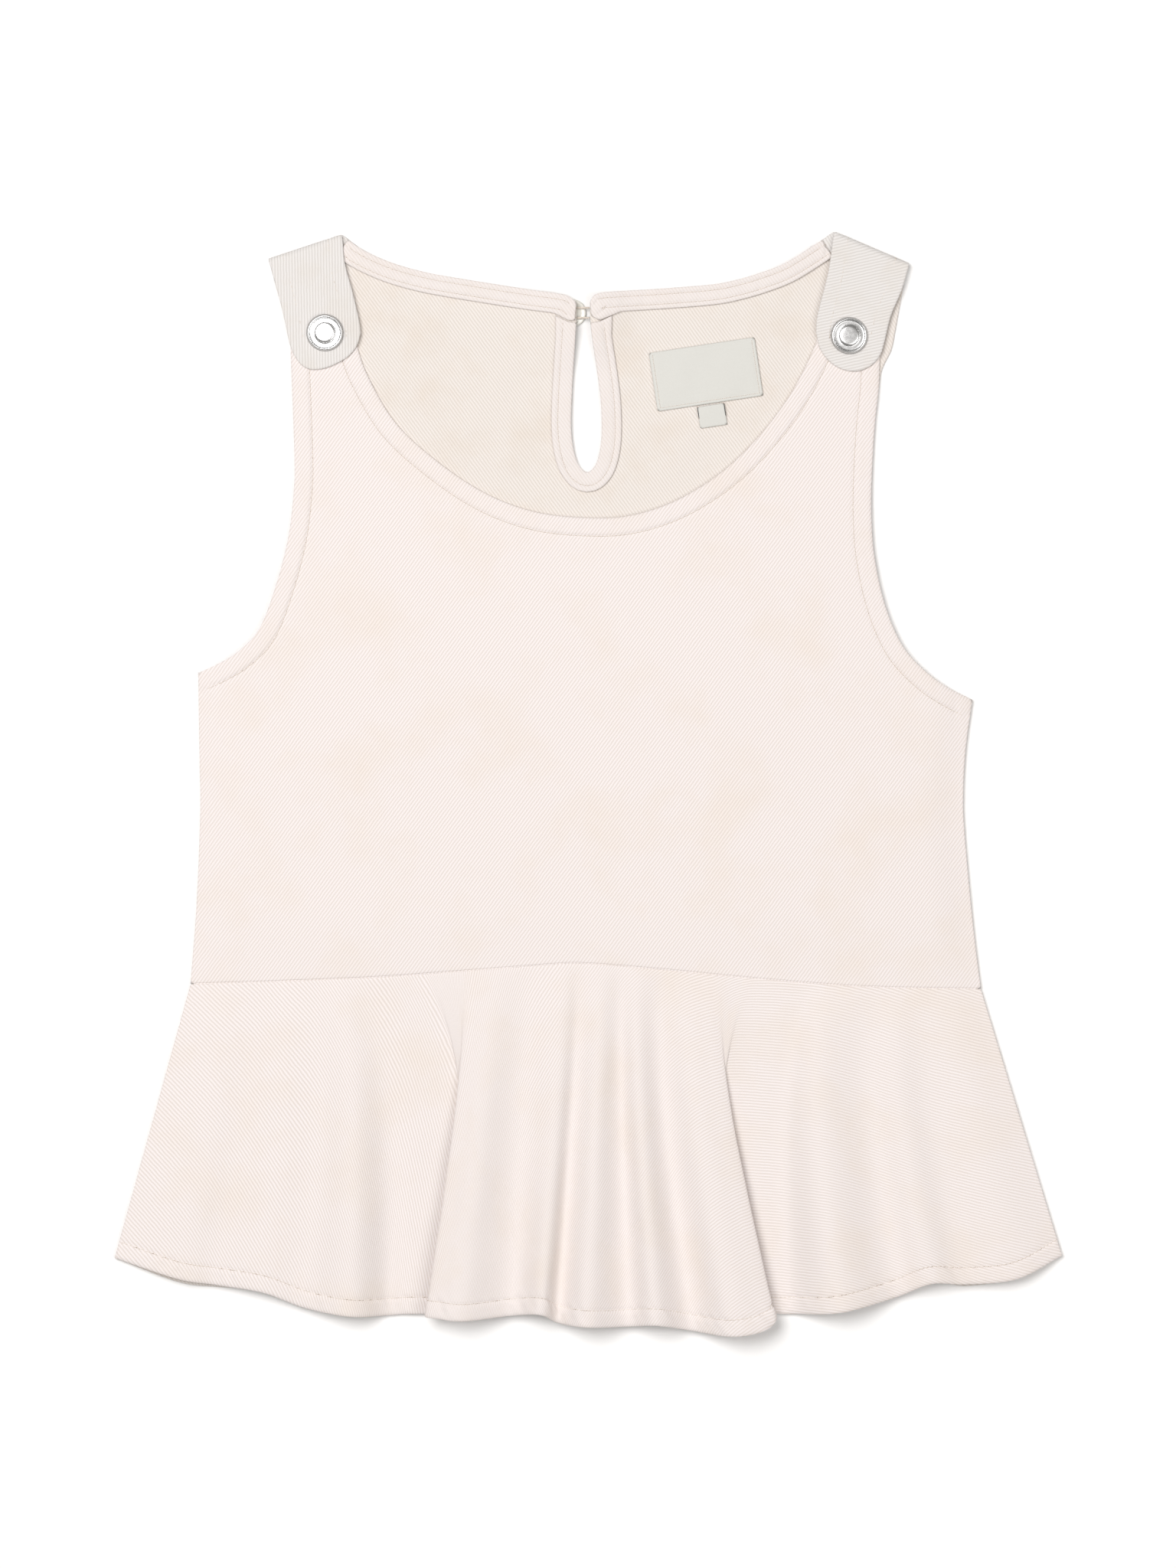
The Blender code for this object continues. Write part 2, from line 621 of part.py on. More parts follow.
home = fresh_scene()
bodice()
for strap_name in STRAPS:
    strap(strap_name)
peplum("back_peplum", BACK_FOLDS, BACK_MID, BACK_MID, "twill_inside")
peplum("front_peplum", FRONT_FOLDS, FRONT_MID, front_middle(0.0, WAIST[5][1]) - SEAM_DROP, "twill")
neck_strip("left")
neck_strip("right")
keyhole_facing()
plate("label", LABEL)
plate("size_tab", TAB)
for snap_name, snap_place in SNAP_PLACES.items():
    snap_seat = strap_middle(*snap_place) + STRAP / 2 + GAP
    turned(snap_name, snap_place, snap_seat, SNAP_PROFILE, SNAP_STEPS, "steel")
turned("back_button", BUTTON_PLACE, 0.0, BUTTON_PROFILE, BUTTON_STEPS, "button_resin")
button_loop()
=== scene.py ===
import math

import bpy
import numpy as np
from mathutils.geometry import delaunay_2d_cdt
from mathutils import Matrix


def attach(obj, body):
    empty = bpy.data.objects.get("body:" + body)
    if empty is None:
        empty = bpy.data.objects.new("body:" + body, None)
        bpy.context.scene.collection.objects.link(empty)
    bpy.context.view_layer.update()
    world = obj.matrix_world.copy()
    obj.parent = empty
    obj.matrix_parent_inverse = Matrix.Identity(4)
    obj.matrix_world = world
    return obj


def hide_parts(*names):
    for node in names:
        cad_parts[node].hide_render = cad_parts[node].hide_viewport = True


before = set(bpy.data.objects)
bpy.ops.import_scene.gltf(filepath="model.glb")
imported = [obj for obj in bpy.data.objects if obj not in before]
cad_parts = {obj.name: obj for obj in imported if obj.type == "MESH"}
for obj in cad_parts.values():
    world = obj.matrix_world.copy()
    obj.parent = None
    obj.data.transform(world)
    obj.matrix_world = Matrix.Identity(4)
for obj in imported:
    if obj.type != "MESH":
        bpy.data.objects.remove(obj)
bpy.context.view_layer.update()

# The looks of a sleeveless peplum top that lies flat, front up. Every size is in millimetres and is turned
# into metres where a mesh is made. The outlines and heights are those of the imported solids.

MM = 0.001
BODY = "root"

# Cloth and the layers it lies in
CLOTH = 1.1
STRIP = 1.0
STRAP = 1.4
GAP = 0.3
BACK_MID = CLOTH / 2
FRONT_MID = 1.5 * CLOTH + GAP
STRAP_OVER_FRONT = CLOTH / 2 + STRAP / 2 + 0.5
FRONT_PUFF = 2.2
SIDE_ROLL = 20.0
PUFF_END = 40.0          # the front's puff fades from this height up
PUFF_FADE = 140.0        # over this length
WAIST_PUFF = 0.55        # share of the puff at the waist seam
WAIST_LOW = -96.0        # from this height
WAIST_RISE = 35.0        # the puff grows to its full share over this length
SWELLS = [
    # height  pitch   seed, of the soft crinkles inside the back
    (0.32, 34.0, 5), (0.07, 11.0, 6),
]
SWELL_CLEAR = 4.0        # the crinkles start this far from the front's neck
SWELL_FADE = 16.0        # and are full after this much more

# Waist seam, from the left side seam to the right one, and the side seams upwards from it
WAIST = [
    (-187.0, -94.1), (-143.5, -92.7), (-99.9, -90.9), (-55.6, -87.7), (-18.5, -84.9), (0.0, -84.5),
    (36.5, -87.4), (77.2, -91.3), (128.7, -95.2), (184.5, -96.4),
]
SIDE_LEFT = [(-187.0, -94.1), (-184.1, -56.3), (-182.4, -13.1), (-182.7, 8.5), (-183.4, 52.0)]
SIDE_RIGHT = [(184.5, -96.4), (180.9, -67.1), (176.9, -23.9), (176.2, -5.9), (177.3, 15.7), (180.5, 39.4)]

# Front: the armholes run upwards from the side seams, the neck from the left shoulder to the right one
FRONT_ARM_LEFT = [
    (-183.4, 52.0), (-173.5, 56.5), (-164.0, 62.5), (-154.3, 73.3), (-146.3, 94.9), (-140.9, 116.5),
    (-138.4, 138.1), (-138.1, 152.5), (-139.1, 181.3), (-140.0, 206.0), (-139.5, 222.0),
]
FRONT_NECK = [
    (-112.5, 222.0), (-108.9, 206.5), (-103.5, 191.3), (-90.5, 169.4), (-70.4, 151.0), (-48.1, 136.3),
    (-26.1, 128.0), (-3.8, 125.1), (18.2, 125.8), (40.5, 132.7), (62.5, 146.3), (80.8, 164.0),
    (95.6, 184.1), (106.7, 206.5), (110.8, 222.0),
]
FRONT_ARM_RIGHT = [
    (180.5, 39.4), (169.7, 44.8), (159.7, 51.7), (149.2, 62.5), (142.6, 75.0), (138.1, 88.5), (135.2, 102.1),
    (133.4, 116.5), (133.0, 138.1), (134.5, 166.9), (136.5, 186.0), (137.2, 205.0), (138.0, 222.0),
]

# Back: as the front, a little inside its armholes, up to the straps' seams
BACK_ARM_LEFT = [
    (-183.4, 52.0), (-172.5, 55.8), (-163.0, 61.5), (-153.0, 72.5), (-144.9, 94.5), (-139.5, 116.5),
    (-137.0, 138.1), (-136.8, 152.5), (-137.8, 181.3), (-140.0, 205.0), (-143.6, 221.5),
]
BACK_ARM_RIGHT = [
    (180.5, 39.4), (169.0, 44.0), (158.7, 50.9), (148.0, 62.0), (141.2, 74.6), (136.8, 88.4), (133.9, 102.1),
    (132.1, 116.5), (131.8, 138.1), (133.4, 166.9), (136.4, 184.9), (138.1, 194.9), (142.4, 203.9),
    (144.4, 213.7),
]
BACK_NECK_LEFT = [
    (-100.3, 248.0), (-91.3, 244.4), (-80.5, 241.3), (-69.7, 239.0), (-48.1, 235.4), (-26.5, 232.0),
    (-15.7, 230.5), (-9.4, 229.0), (-5.6, 226.0),
]
BACK_NECK_RIGHT = [
    (0.8, 226.6), (4.1, 230.2), (14.9, 231.4), (36.5, 232.8), (58.1, 234.6), (68.9, 236.6), (79.7, 239.7),
    (90.5, 243.7), (99.0, 248.5),
]
KEYHOLE = [
    (-5.6, 226.0), (-5.6, 218.0), (-6.2, 208.0), (-7.0, 195.7), (-7.8, 181.3), (-8.1, 168.0), (-7.1, 158.0),
    (-4.6, 150.0), (-0.6, 146.3), (3.2, 149.6), (5.5, 157.0), (6.3, 167.0), (5.7, 181.3), (3.8, 195.7),
    (1.9, 208.0), (0.8, 218.0), (0.8, 226.6),
]

# Straps: fold line over the shoulder, edges from the fold to the tab, the tab's end, and the part under it.
# twill is how far the cloth is turned in the cut.
STRAP_BACK = 10.0
STRAPS = {
    "strap_left": {
        "fold": [(-150.3, 246.1), (-115.7, 257.6)],
        "left": [(-150.3, 246.1), (-146.8, 234.0), (-143.6, 221.3), (-140.6, 207.2)],
        "tab": [
            (-140.6, 207.2), (-138.6, 202.1), (-135.9, 197.8), (-132.7, 195.3), (-128.4, 194.5),
            (-122.2, 195.7), (-114.9, 199.2), (-111.1, 202.4), (-108.5, 206.3), (-107.0, 211.5),
        ],
        "right": [(-107.0, 211.5), (-107.7, 217.6), (-110.9, 231.5), (-114.4, 244.5), (-115.7, 257.6)],
        "back_left": [(-150.3, 246.1), (-147.6, 236.1)],
        "back_right": [(-115.7, 257.6), (-107.5, 251.8), (-104.9, 250.4)],
        "twill": 37.0,
    },
    "strap_right": {
        "fold": [(115.4, 259.0), (150.7, 243.9)],
        "left": [(115.4, 259.0), (112.6, 240.0), (107.7, 220.5), (106.9, 212.3)],
        "tab": [
            (106.9, 212.3), (108.7, 204.6), (112.7, 198.9), (118.2, 195.1), (124.6, 193.7), (130.6, 195.1),
            (134.9, 198.3), (137.6, 202.4), (139.2, 207.9),
        ],
        "right": [(139.2, 207.9), (142.2, 220.0), (147.3, 232.0), (150.7, 243.9)],
        "back_left": [(115.4, 259.0), (108.5, 254.7), (104.6, 252.3)],
        "back_right": [(150.7, 243.9), (148.1, 233.8)],
        "twill": -41.0,
    },
}

# Strips turned in along the back neck, and round the keyhole
NECK_STRIP_WIDTH = 9.5
NECK_STRIP_ENDS = {"left": -113.0, "right": 110.8}
NECK_STRIP_CLIPS = {"left": -16.0, "right": 14.0}
NECK_ROW_ENDS = {"left": -9.0, "right": 5.0}
NECK_STRIP_TIPS = {"left": [(-9.5, 217.6), (-6.4, 217.6)], "right": [(1.3, 219.8), (5.2, 217.6)]}
FACING_WIDTH = 9.3
FACING_INNER_TOP = 216.9
FACING_OUTER_TOP = 212.0
FACING_OUTER_TOPS = [[(-9.6, 217.0), (-15.4, 219.9)], [(11.2, 220.0), (5.4, 217.1)]]

LABEL = {"middle": (55.3, 192.4), "size": (50.2, 27.8), "angle": 8.6, "corner": 0.6}
TAB = {"middle": (58.2, 172.9), "size": (12.9, 10.2), "angle": 8.6, "corner": 0.4}

# Snaps: place, and the way that each leans on its strap, in degrees
SNAPS = {
    "snap_cap_left": {"place": (-123.8, 211.8), "lean": (2.0, -2.5)},
    "snap_cap_right": {"place": (122.6, 210.5), "lean": (-2.0, 2.0)},
}
SNAP_PROFILE = [
    (0.0, 2.22), (3.2, 2.18), (4.3, 2.05), (4.75, 1.7), (4.95, 1.3), (5.25, 1.15), (6.8, 1.12), (7.15, 1.35),
    (7.35, 1.7), (7.75, 1.9), (8.15, 1.65), (8.38, 1.1), (8.35, 0.5), (8.1, 0.1), (0.0, 0.05),
]

BUTTON_PLACE = (-7.4, 221.2)
BUTTON_PROFILE = [
    (0.0, 2.9), (1.3, 2.9), (1.4, 1.6), (3.6, 1.25), (4.4, 1.2), (5.3, 1.4), (5.95, 1.35), (6.25, 1.0),
    (6.25, 0.5), (5.9, 0.1), (0.0, 0.05),
]
BUTTON_LIFT = 3.3
LIFT_FLAT = 9.0
LIFT_RUN = 26.0
LOOP_BEND = 2.35
LOOP_HEIGHT = 2.4
LOOP_END = 0.45
LOOP_END_HEIGHT = BUTTON_LIFT + CLOTH / 2
LOOP_ROUTE = [(LOOP_END, LOOP_END_HEIGHT), (-1.5, 3.3), (-3.6, 2.7), (-5.2, LOOP_HEIGHT)]
PLY = 0.27               # radius of a ply of the cord, and of the circle that the plies run on
PLY_TURN = 2.2           # length of one turn of the plies

# The peplum is cut as a sector of a ring. A row is one line of its cloth from the waist seam to the hem:
# angle is its angle in the cut, top where its fold points at the seam, hem_x and hem_y where it ends, and
# height how high its middle lies at the hem. Where top and hem_x run back, the cloth folds over itself.
SECTOR = 85.5
SEAM_RADIUS = 124.6
SEAM_SHARE = 0.5
SEAM_DROP = 0.5
FOLD_RISE = 0.7
FRONT_FOLDS = [
    # angle   top     hem_x   hem_y   height
    (-85.5, -187.0, -222.7, -223.0, 1.95),
    (-79.0, -168.7, -193.1, -232.7, 6.5),
    (-74.0, -151.0, -174.8, -235.6, 4.5),
    (-69.0, -136.3, -152.5, -239.2, 8.0),
    (-64.5, -120.1, -133.0, -246.4, 5.5),
    (-59.0, -107.5, -111.8, -250.2, 12.5),
    (-53.5, -93.8, -95.2, -250.0, 2.3),
    (-49.5, -78.7, -83.0, -249.3, 2.5),
    (-44.0, -67.3, -56.3, -249.7, 2.6),
    (-42.0, -60.7, -46.8, -250.0, 4.9),
    (-39.0, -58.5, -55.3, -250.2, 7.4),
    (-31.0, -54.2, -66.4, -250.4, 8.6),
    (-27.5, -51.7, -76.1, -250.4, 10.8),
    (-25.0, -47.6, -70.7, -251.1, 13.8),
    (-20.0, -40.9, -58.5, -252.2, 15.5),
    (-12.0, -29.0, -36.2, -250.0, 5.5),
    (-6.0, -10.3, -22.5, -249.3, 15.0),
    (-2.0, -2.0, -14.2, -253.3, 6.5),
    (3.0, 7.0, -0.5, -255.1, 16.0),
    (9.0, 12.3, 18.9, -255.1, 5.5),
    (13.5, 18.5, 32.2, -254.3, 15.5),
    (19.5, 25.7, 49.1, -257.2, 4.6),
    (26.0, 35.8, 67.1, -259.4, 16.0),
    (30.0, 45.5, 81.5, -257.2, 14.2),
    (32.0, 50.9, 87.7, -252.2, 10.8),
    (36.0, 53.8, 77.9, -250.4, 8.6),
    (43.0, 56.7, 65.8, -250.0, 7.4),
    (46.0, 59.1, 59.9, -249.7, 4.9),
    (48.5, 66.8, 67.1, -249.3, 2.6),
    (52.5, 77.9, 86.2, -249.3, 2.5),
    (56.0, 87.7, 96.7, -249.3, 2.3),
    (61.0, 97.7, 118.6, -248.2, 15.0),
    (68.5, 119.3, 144.5, -241.4, 4.4),
    (73.5, 133.7, 161.1, -234.9, 10.0),
    (78.0, 147.5, 177.7, -235.3, 5.5),
    (82.0, 166.9, 201.4, -232.7, 7.5),
    (85.5, 184.5, 222.7, -221.9, 1.95),
]
BACK_FOLDS = [
    # angle   top     hem_x   hem_y   height
    (-85.5, -187.0, -222.7, -223.0, 0.55),
    (-79.0, -168.7, -193.1, -234.1, 1.6),
    (-74.0, -151.0, -174.8, -236.6, 0.55),
    (-67.0, -136.3, -152.5, -238.0, 2.6),
    (-61.0, -120.1, -133.0, -245.0, 0.55),
    (-54.0, -107.5, -113.0, -248.8, 4.0),
    (-47.0, -93.8, -97.0, -248.8, 0.55),
    (-39.0, -78.7, -80.0, -248.5, 0.55),
    (-27.0, -52.7, -56.0, -248.8, 0.55),
    (-15.0, -29.0, -36.2, -248.8, 0.55),
    (-8.0, -12.3, -22.5, -248.0, 4.6),
    (-3.0, -4.0, -13.2, -251.6, 0.8),
    (3.0, 5.0, -0.5, -253.6, 4.8),
    (9.0, 12.3, 18.9, -253.8, 0.55),
    (15.0, 20.5, 32.2, -253.0, 4.4),
    (22.0, 31.0, 49.1, -255.0, 0.55),
    (30.0, 45.5, 68.0, -255.0, 0.55),
    (38.0, 62.0, 84.0, -249.0, 0.55),
    (47.0, 87.7, 98.7, -248.0, 0.55),
    (56.0, 102.7, 119.6, -246.8, 4.6),
    (64.0, 119.3, 144.5, -240.2, 0.55),
    (71.0, 135.7, 161.1, -234.0, 2.8),
    (76.0, 147.5, 177.7, -236.2, 0.55),
    (81.0, 166.9, 201.4, -232.2, 2.0),
    (85.5, 184.5, 222.7, -221.9, 0.55),
]

# Sewing
WAIST_FOLD = 0.42        # radius of the roll in the ditch of the waist seam
WAIST_FOLD_LIFT = -0.2   # its height over the middle of the front's cloth
NECK_ROW = 8.6           # stitch row inside the front's neck and armholes
HEM_ROW = 8.0            # and above the peplum's hem
NECK_STRIP_ROWS = (2.7, 7.3)
FACING_ROW = 6.3         # from the keyhole's edge
STRAP_ROW = 7.0
STITCH_PITCH = 2.1
THREAD = 0.21            # radius of the thread
STITCH_LENGTH = 0.74     # share of the pitch that a stitch covers
STITCH_LIFT = 0.16       # height of a stitch over the cloth
SHADE_DOT = 0.34              # half the length of a dot of painted shade at a needle hole
SHADE_DOT_RIM = 0.14          # how deep the rim of that painted shade dot lies under the stitches
SHADE_DOT_MIDDLE = 0.05       # and its middle
STITCH_FORM = [
    # place  width  lift
    (-1.0, 0.35, -1.0), (-0.82, 0.85, -0.35), (-0.35, 1.0, 0.12),
    (0.35, 1.0, 0.12), (0.82, 0.85, -0.35), (1.0, 0.35, -1.0),
]

# Rows of mesh points that follow an edge, by their distance from it
HEM_ROWS = [0.1, 0.32, 0.7, 1.4, 2.6, 4.0, 5.5, 6.8, 7.6, 8.1, 8.6, 9.1, 9.7, 10.6, 12.2, 14.5]
TRIM_ROWS = [0.1, 0.3, 0.6, 1.1, 1.7, 2.2, 2.7, 3.2, 3.8, 4.6]
PANEL_STEPS = (1.7, 3.2)     # along the edge, and inside
TRIM_STEPS = (1.2, 1.3)
PEPLUM_LENGTH = 150.0
PEPLUM_SEAM_ROWS = [0.0, 0.1, 0.32, 0.7, 1.3, 2.2, 3.4, 5.0, 7.0]
PEPLUM_HEM_ROWS = [0.0, 0.1, 0.35, 0.8, 1.6, 2.8, 4.2, 5.6, 6.7, 7.4, 8.0, 8.6, 9.3, 10.4, 12.0]
PEPLUM_SIDE = [0.0, 0.004, 0.013, 0.03, 0.06]   # in fold rows
STRAP_ROWS = [0.1, 0.32, 0.7, 1.1, 1.5, 1.9, 2.6, 3.6, 4.8, 6.0, 6.7, 7.3, 8.0]
STRAP_STEPS = (1.1, 1.6)

# Meshes
SAME_POINT = 0.01        # points closer than this are one
CORNER = 0.85            # cosine of the turn from which a point is a corner
ROW_RATIO = 0.866        # height of a triangle of a grid, in steps
ON_RIM = 0.004           # points closer to the outline are on the rim
RIM_ROUND = 0.62         # how far in the rim is rounded, in thicknesses
RIM_SETTLE = 1.6         # and how far in the relief starts in full
FULL_TURN = 6.28         # phases of the ripples go up to this

FLAT_MAP = "cloth_flat"


# Curves and outlines

def ease(share):
    """0 below 0, 1 above 1 and a smooth step between."""
    held = np.clip(share, 0.0, 1.0)
    return held * held * (3.0 - 2.0 * held)


def bell(value, middle, width):
    """1 at the middle, and falling away on both sides."""
    return np.exp(-(((value - middle) / width) ** 2))


def spline_at(points, places):
    """A smooth curve through the points, at places counted in points from the first."""
    known = np.array(points, float)
    ends = np.vstack([2 * known[0] - known[1], known, 2 * known[-1] - known[-2]])
    places = np.asarray(places, float)
    first = np.clip(np.floor(places).astype(int), 0, len(known) - 2)
    t = (places - first)[:, None]
    a, b, c, d = (ends[first + k] for k in range(4))
    return 0.5 * (2 * b + (c - a) * t + (2 * a - 5 * b + 4 * c - d) * t**2
                  + (3 * b - a - 3 * c + d) * t**3)


def spline(points, per):
    """A smooth curve through the points, with per steps between two of them."""
    return spline_at(points, np.arange((len(points) - 1) * per + 1) / per)


def joined(*curves):
    """One closed outline from curves that meet end to end."""
    points = np.vstack([np.asarray(c, float) for c in curves])
    keep = [0]
    for i in range(1, len(points)):
        if math.dist(points[i], points[keep[-1]]) > SAME_POINT:
            keep.append(i)
    if math.dist(points[keep[0]], points[keep[-1]]) < SAME_POINT:
        keep.pop()
    return points[keep]


def lengths(curve):
    """How far along a curve each of its points is."""
    return np.concatenate([[0.0], np.cumsum(np.linalg.norm(np.diff(curve, axis=0), axis=1))])


def resampled(curve, step, keep_corners=True):
    """The curve with points about a step apart, its sharp corners kept."""
    curve = np.asarray(curve, float)
    at = lengths(curve)
    stops = [0.0]
    if keep_corners:
        runs = np.diff(curve, axis=0)
        runs /= np.linalg.norm(runs, axis=1)[:, None]
        turns = np.sum(runs[:-1] * runs[1:], axis=1)
        stops += [at[i + 1] for i in np.nonzero(turns < CORNER)[0]]
    stops.append(at[-1])
    places = []
    for a, b in zip(stops, stops[1:]):
        count = max(int(round((b - a) / step)), 1)
        places += list(a + (b - a) * np.arange(count) / count)
    places.append(stops[-1])
    return np.column_stack([np.interp(places, at, curve[:, k]) for k in range(curve.shape[1])])


def along(curve, key, at):
    """The other coordinate of a curve where its coordinate number key is at."""
    curve = np.asarray(curve, float)
    ordered = curve[np.argsort(curve[:, key])]
    return np.interp(at, ordered[:, key], ordered[:, 1 - key])


def shifted(curve, by):
    """The curve moved by that many millimetres to its left, as it runs."""
    curve = np.asarray(curve, float)
    run = np.vstack([curve[1] - curve[0], curve[2:] - curve[:-2], curve[-1] - curve[-2]])
    run /= np.linalg.norm(run, axis=1)[:, None]
    return curve + by * np.column_stack([-run[:, 1], run[:, 0]])


def rotated(points, degrees):
    """Points turned about the origin."""
    points, turn = np.asarray(points, float), math.radians(degrees)
    x, y = points[:, 0], points[:, 1]
    return np.column_stack([
        x * math.cos(turn) - y * math.sin(turn), x * math.sin(turn) + y * math.cos(turn),
    ])


def nearest(points, curve, chunk=1500):
    """Distance of each point to a line, and how far along the line that is."""
    points, curve = np.asarray(points, float), np.asarray(curve, float)
    start, run = curve[:-1], np.diff(curve, axis=0)
    squares = np.maximum((run**2).sum(axis=1), 1e-12)
    before = lengths(curve)[:-1]
    away, place = [], []
    for first in range(0, len(points), chunk):
        offset = points[first:first + chunk, None, :] - start[None]
        share = np.clip((offset * run).sum(axis=2) / squares, 0.0, 1.0)
        gap = offset - share[..., None] * run
        gap = np.hypot(gap[..., 0], gap[..., 1])
        pick = gap.argmin(axis=1)
        rows = np.arange(len(pick))
        away.append(gap[rows, pick])
        place.append(before[pick] + share[rows, pick] * np.sqrt(squares[pick]))
    return np.concatenate(away), np.concatenate(place)


def inside(points, outline):
    """Which of the points are in a closed outline."""
    points = np.asarray(points, float)
    x, y = points[:, 0], points[:, 1]
    hit = np.zeros(len(points), bool)
    for (x0, y0), (x1, y1) in zip(outline, np.roll(outline, -1, axis=0)):
        if y0 != y1:
            crosses = ((y0 > y) != (y1 > y)) & (x < (x1 - x0) * (y - y0) / (y1 - y0) + x0)
            hit ^= crosses
    return hit


def closed(outline):
    return np.vstack([outline, outline[:1]])


# Small unevenness, the same in every run

def waves(place, seed, pitch):
    """Uneven ripples of about that pitch along a line, from about -1 to 1."""
    draw = np.random.default_rng(seed)
    total = np.zeros_like(place, dtype=float)
    for _ in range(5):
        own = pitch * draw.uniform(0.65, 1.6)
        total += np.sin(2 * math.pi * place / own + draw.uniform(0, FULL_TURN))
    return total / 3.0


def swell(xy, seed, pitch):
    """Uneven soft hills of about that pitch over a surface, from about -1 to 1."""
    draw = np.random.default_rng(seed)
    total = np.zeros(len(xy))
    for _ in range(9):
        way = draw.uniform(0, 2 * math.pi)
        run = xy[:, 0] * math.cos(way) + xy[:, 1] * math.sin(way)
        own = pitch * draw.uniform(0.6, 1.7)
        total += np.sin(2 * math.pi * run / own + draw.uniform(0, FULL_TURN))
    return total / 4.0


# Meshes

def filled(outline, extra):
    """Triangles that fill an outline, through the extra points inside it."""
    count = len(outline)
    edges = [(i, (i + 1) % count) for i in range(count)]
    points = [tuple(p) for p in outline] + [tuple(p) for p in extra]
    verts, _, faces, *_ = delaunay_2d_cdt(points, edges, [list(range(count))], 1, 0.0005)
    flat = np.array([(v[0], v[1]) for v in verts])
    faces = np.array(faces)
    faces = faces[inside(flat[faces].mean(axis=1), outline)]
    turn = np.cross(flat[faces[:, 1]] - flat[faces[:, 0]], flat[faces[:, 2]] - flat[faces[:, 0]])
    faces[turn < 0] = faces[turn < 0][:, ::-1]
    return flat, faces


def edge_rows(outline, rows):
    """Points that follow the outline at those distances inside it."""
    run = np.roll(outline, -1, axis=0) - np.roll(outline, 1, axis=0)
    run /= np.maximum(np.linalg.norm(run, axis=1), 1e-9)[:, None]
    following = np.roll(outline, -1, axis=0)
    area = np.sum(outline[:, 0] * following[:, 1] - following[:, 0] * outline[:, 1])
    inward = np.column_stack([-run[:, 1], run[:, 0]]) * (1 if area > 0 else -1)
    found = np.vstack([outline + inward * row for row in rows])
    want = np.repeat(rows, len(outline))
    away, _ = nearest(found, closed(outline))
    keep = (away > 0.93 * want) & inside(found, outline)
    return found[keep]


def grid_inside(outline, step, clear):
    """Points of a triangular grid in an outline, at least clear from its edge."""
    low, high = outline.min(axis=0), outline.max(axis=0)
    rows = []
    for k, y in enumerate(np.arange(low[1], high[1], step * ROW_RATIO)):
        xs = np.arange(low[0] + (k % 2) * step / 2, high[0], step)
        rows.append(np.column_stack([xs, np.full_like(xs, y)]))
    points = np.vstack(rows)
    points = points[inside(points, outline)]
    away, _ = nearest(points, closed(outline))
    return points[away > clear]


def vertex_normals(points, faces):
    a, b, c = (points[faces[:, k]] for k in range(3))
    face = np.cross(b - a, c - a)
    total = np.zeros_like(points)
    for k in range(3):
        np.add.at(total, faces[:, k], face)
    return total / np.maximum(np.linalg.norm(total, axis=1), 1e-12)[:, None]


def mesh_object(name, points, faces, look, flat=None):
    """A smooth mesh object from points in millimetres, with its flat cut as a map if one is given."""
    mesh = bpy.data.meshes.new(name)
    mesh.from_pydata((np.asarray(points) * MM).tolist(), [], [list(map(int, f)) for f in faces])
    mesh.polygons.foreach_set("use_smooth", [True] * len(mesh.polygons))
    if flat is not None:
        layer = mesh.uv_layers.new(name=FLAT_MAP)
        corner = np.zeros(len(mesh.loops), int)
        mesh.loops.foreach_get("vertex_index", corner)
        layer.data.foreach_set("uv", (np.asarray(flat)[corner] * MM).ravel())
    mesh.materials.append(look)
    made = bpy.data.objects.new(name, mesh)
    bpy.context.scene.collection.objects.link(made)
    return made


def shell(name, middle, faces, rim, from_rim, thickness, rise, flat, look):
    """A closed wall of cloth round its middle surface, rounded at its rim.

    rim says which points are on the rim, where the two sides meet. rise is how far the upper side stands
    over the plain wall, as at a turned hem.
    """
    normals = vertex_normals(middle, faces)
    radius = RIM_ROUND * thickness
    full = np.sqrt(1.0 - (1.0 - np.clip(from_rim / radius, 0.0, 1.0)) ** 2)
    full[rim] = 0.0
    settled = ease(from_rim / RIM_SETTLE)
    upper = middle + normals * (full * thickness / 2 + settled * rise)[:, None]
    lower = middle - normals * (full * thickness / 2)[:, None]
    upper[rim] = middle[rim]
    number = np.full(len(middle), -1)
    inner = np.nonzero(~rim)[0]
    number[inner] = len(middle) + np.arange(len(inner))
    number[rim] = np.nonzero(rim)[0]
    points = np.vstack([upper, lower[inner]])
    below = number[faces][:, ::-1]
    return mesh_object(name, points, np.vstack([faces, below]), look, np.vstack([flat, flat[inner]]))


def panel(name, outline, rows, steps, height, rise, thickness, flat_map, look):
    """A wall of cloth that fills an outline: height gives its middle and rise its upper side's relief."""
    outline = resampled(closed(outline), steps[0])[:-1]
    near = edge_rows(outline, np.array(rows))
    grid = grid_inside(outline, steps[1], rows[-1] + 0.6 * steps[1])
    flat, faces = filled(outline, np.vstack([near, grid]))
    away, _ = nearest(flat, closed(outline))
    rim = away < ON_RIM
    middle = np.column_stack([flat, height(flat)])
    return shell(name, middle, faces, rim, away, thickness, rise(flat), flat_map(flat), look)


def tube_faces(rings, sides):
    """Triangles of a closed tube whose points are that many rings."""
    faces = []
    for r in range(rings - 1):
        for k in range(sides):
            a, b = r * sides + k, r * sides + (k + 1) % sides
            faces += [(a, b, b + sides), (a, b + sides, a + sides)]
    last = (rings - 1) * sides
    for k in range(1, sides - 1):
        faces += [(0, k + 1, k), (last, last + k, last + k + 1)]
    return np.array(faces)


def tube(centre, side, up, radius, sides=8):
    """Points and triangles of a tube round a line."""
    ring = [
        centre + radius * (side * math.cos(w) + up * math.sin(w))
        for w in 2 * math.pi * np.arange(sides) / sides
    ]
    return np.stack(ring, axis=1).reshape(-1, 3), tube_faces(len(centre), sides)


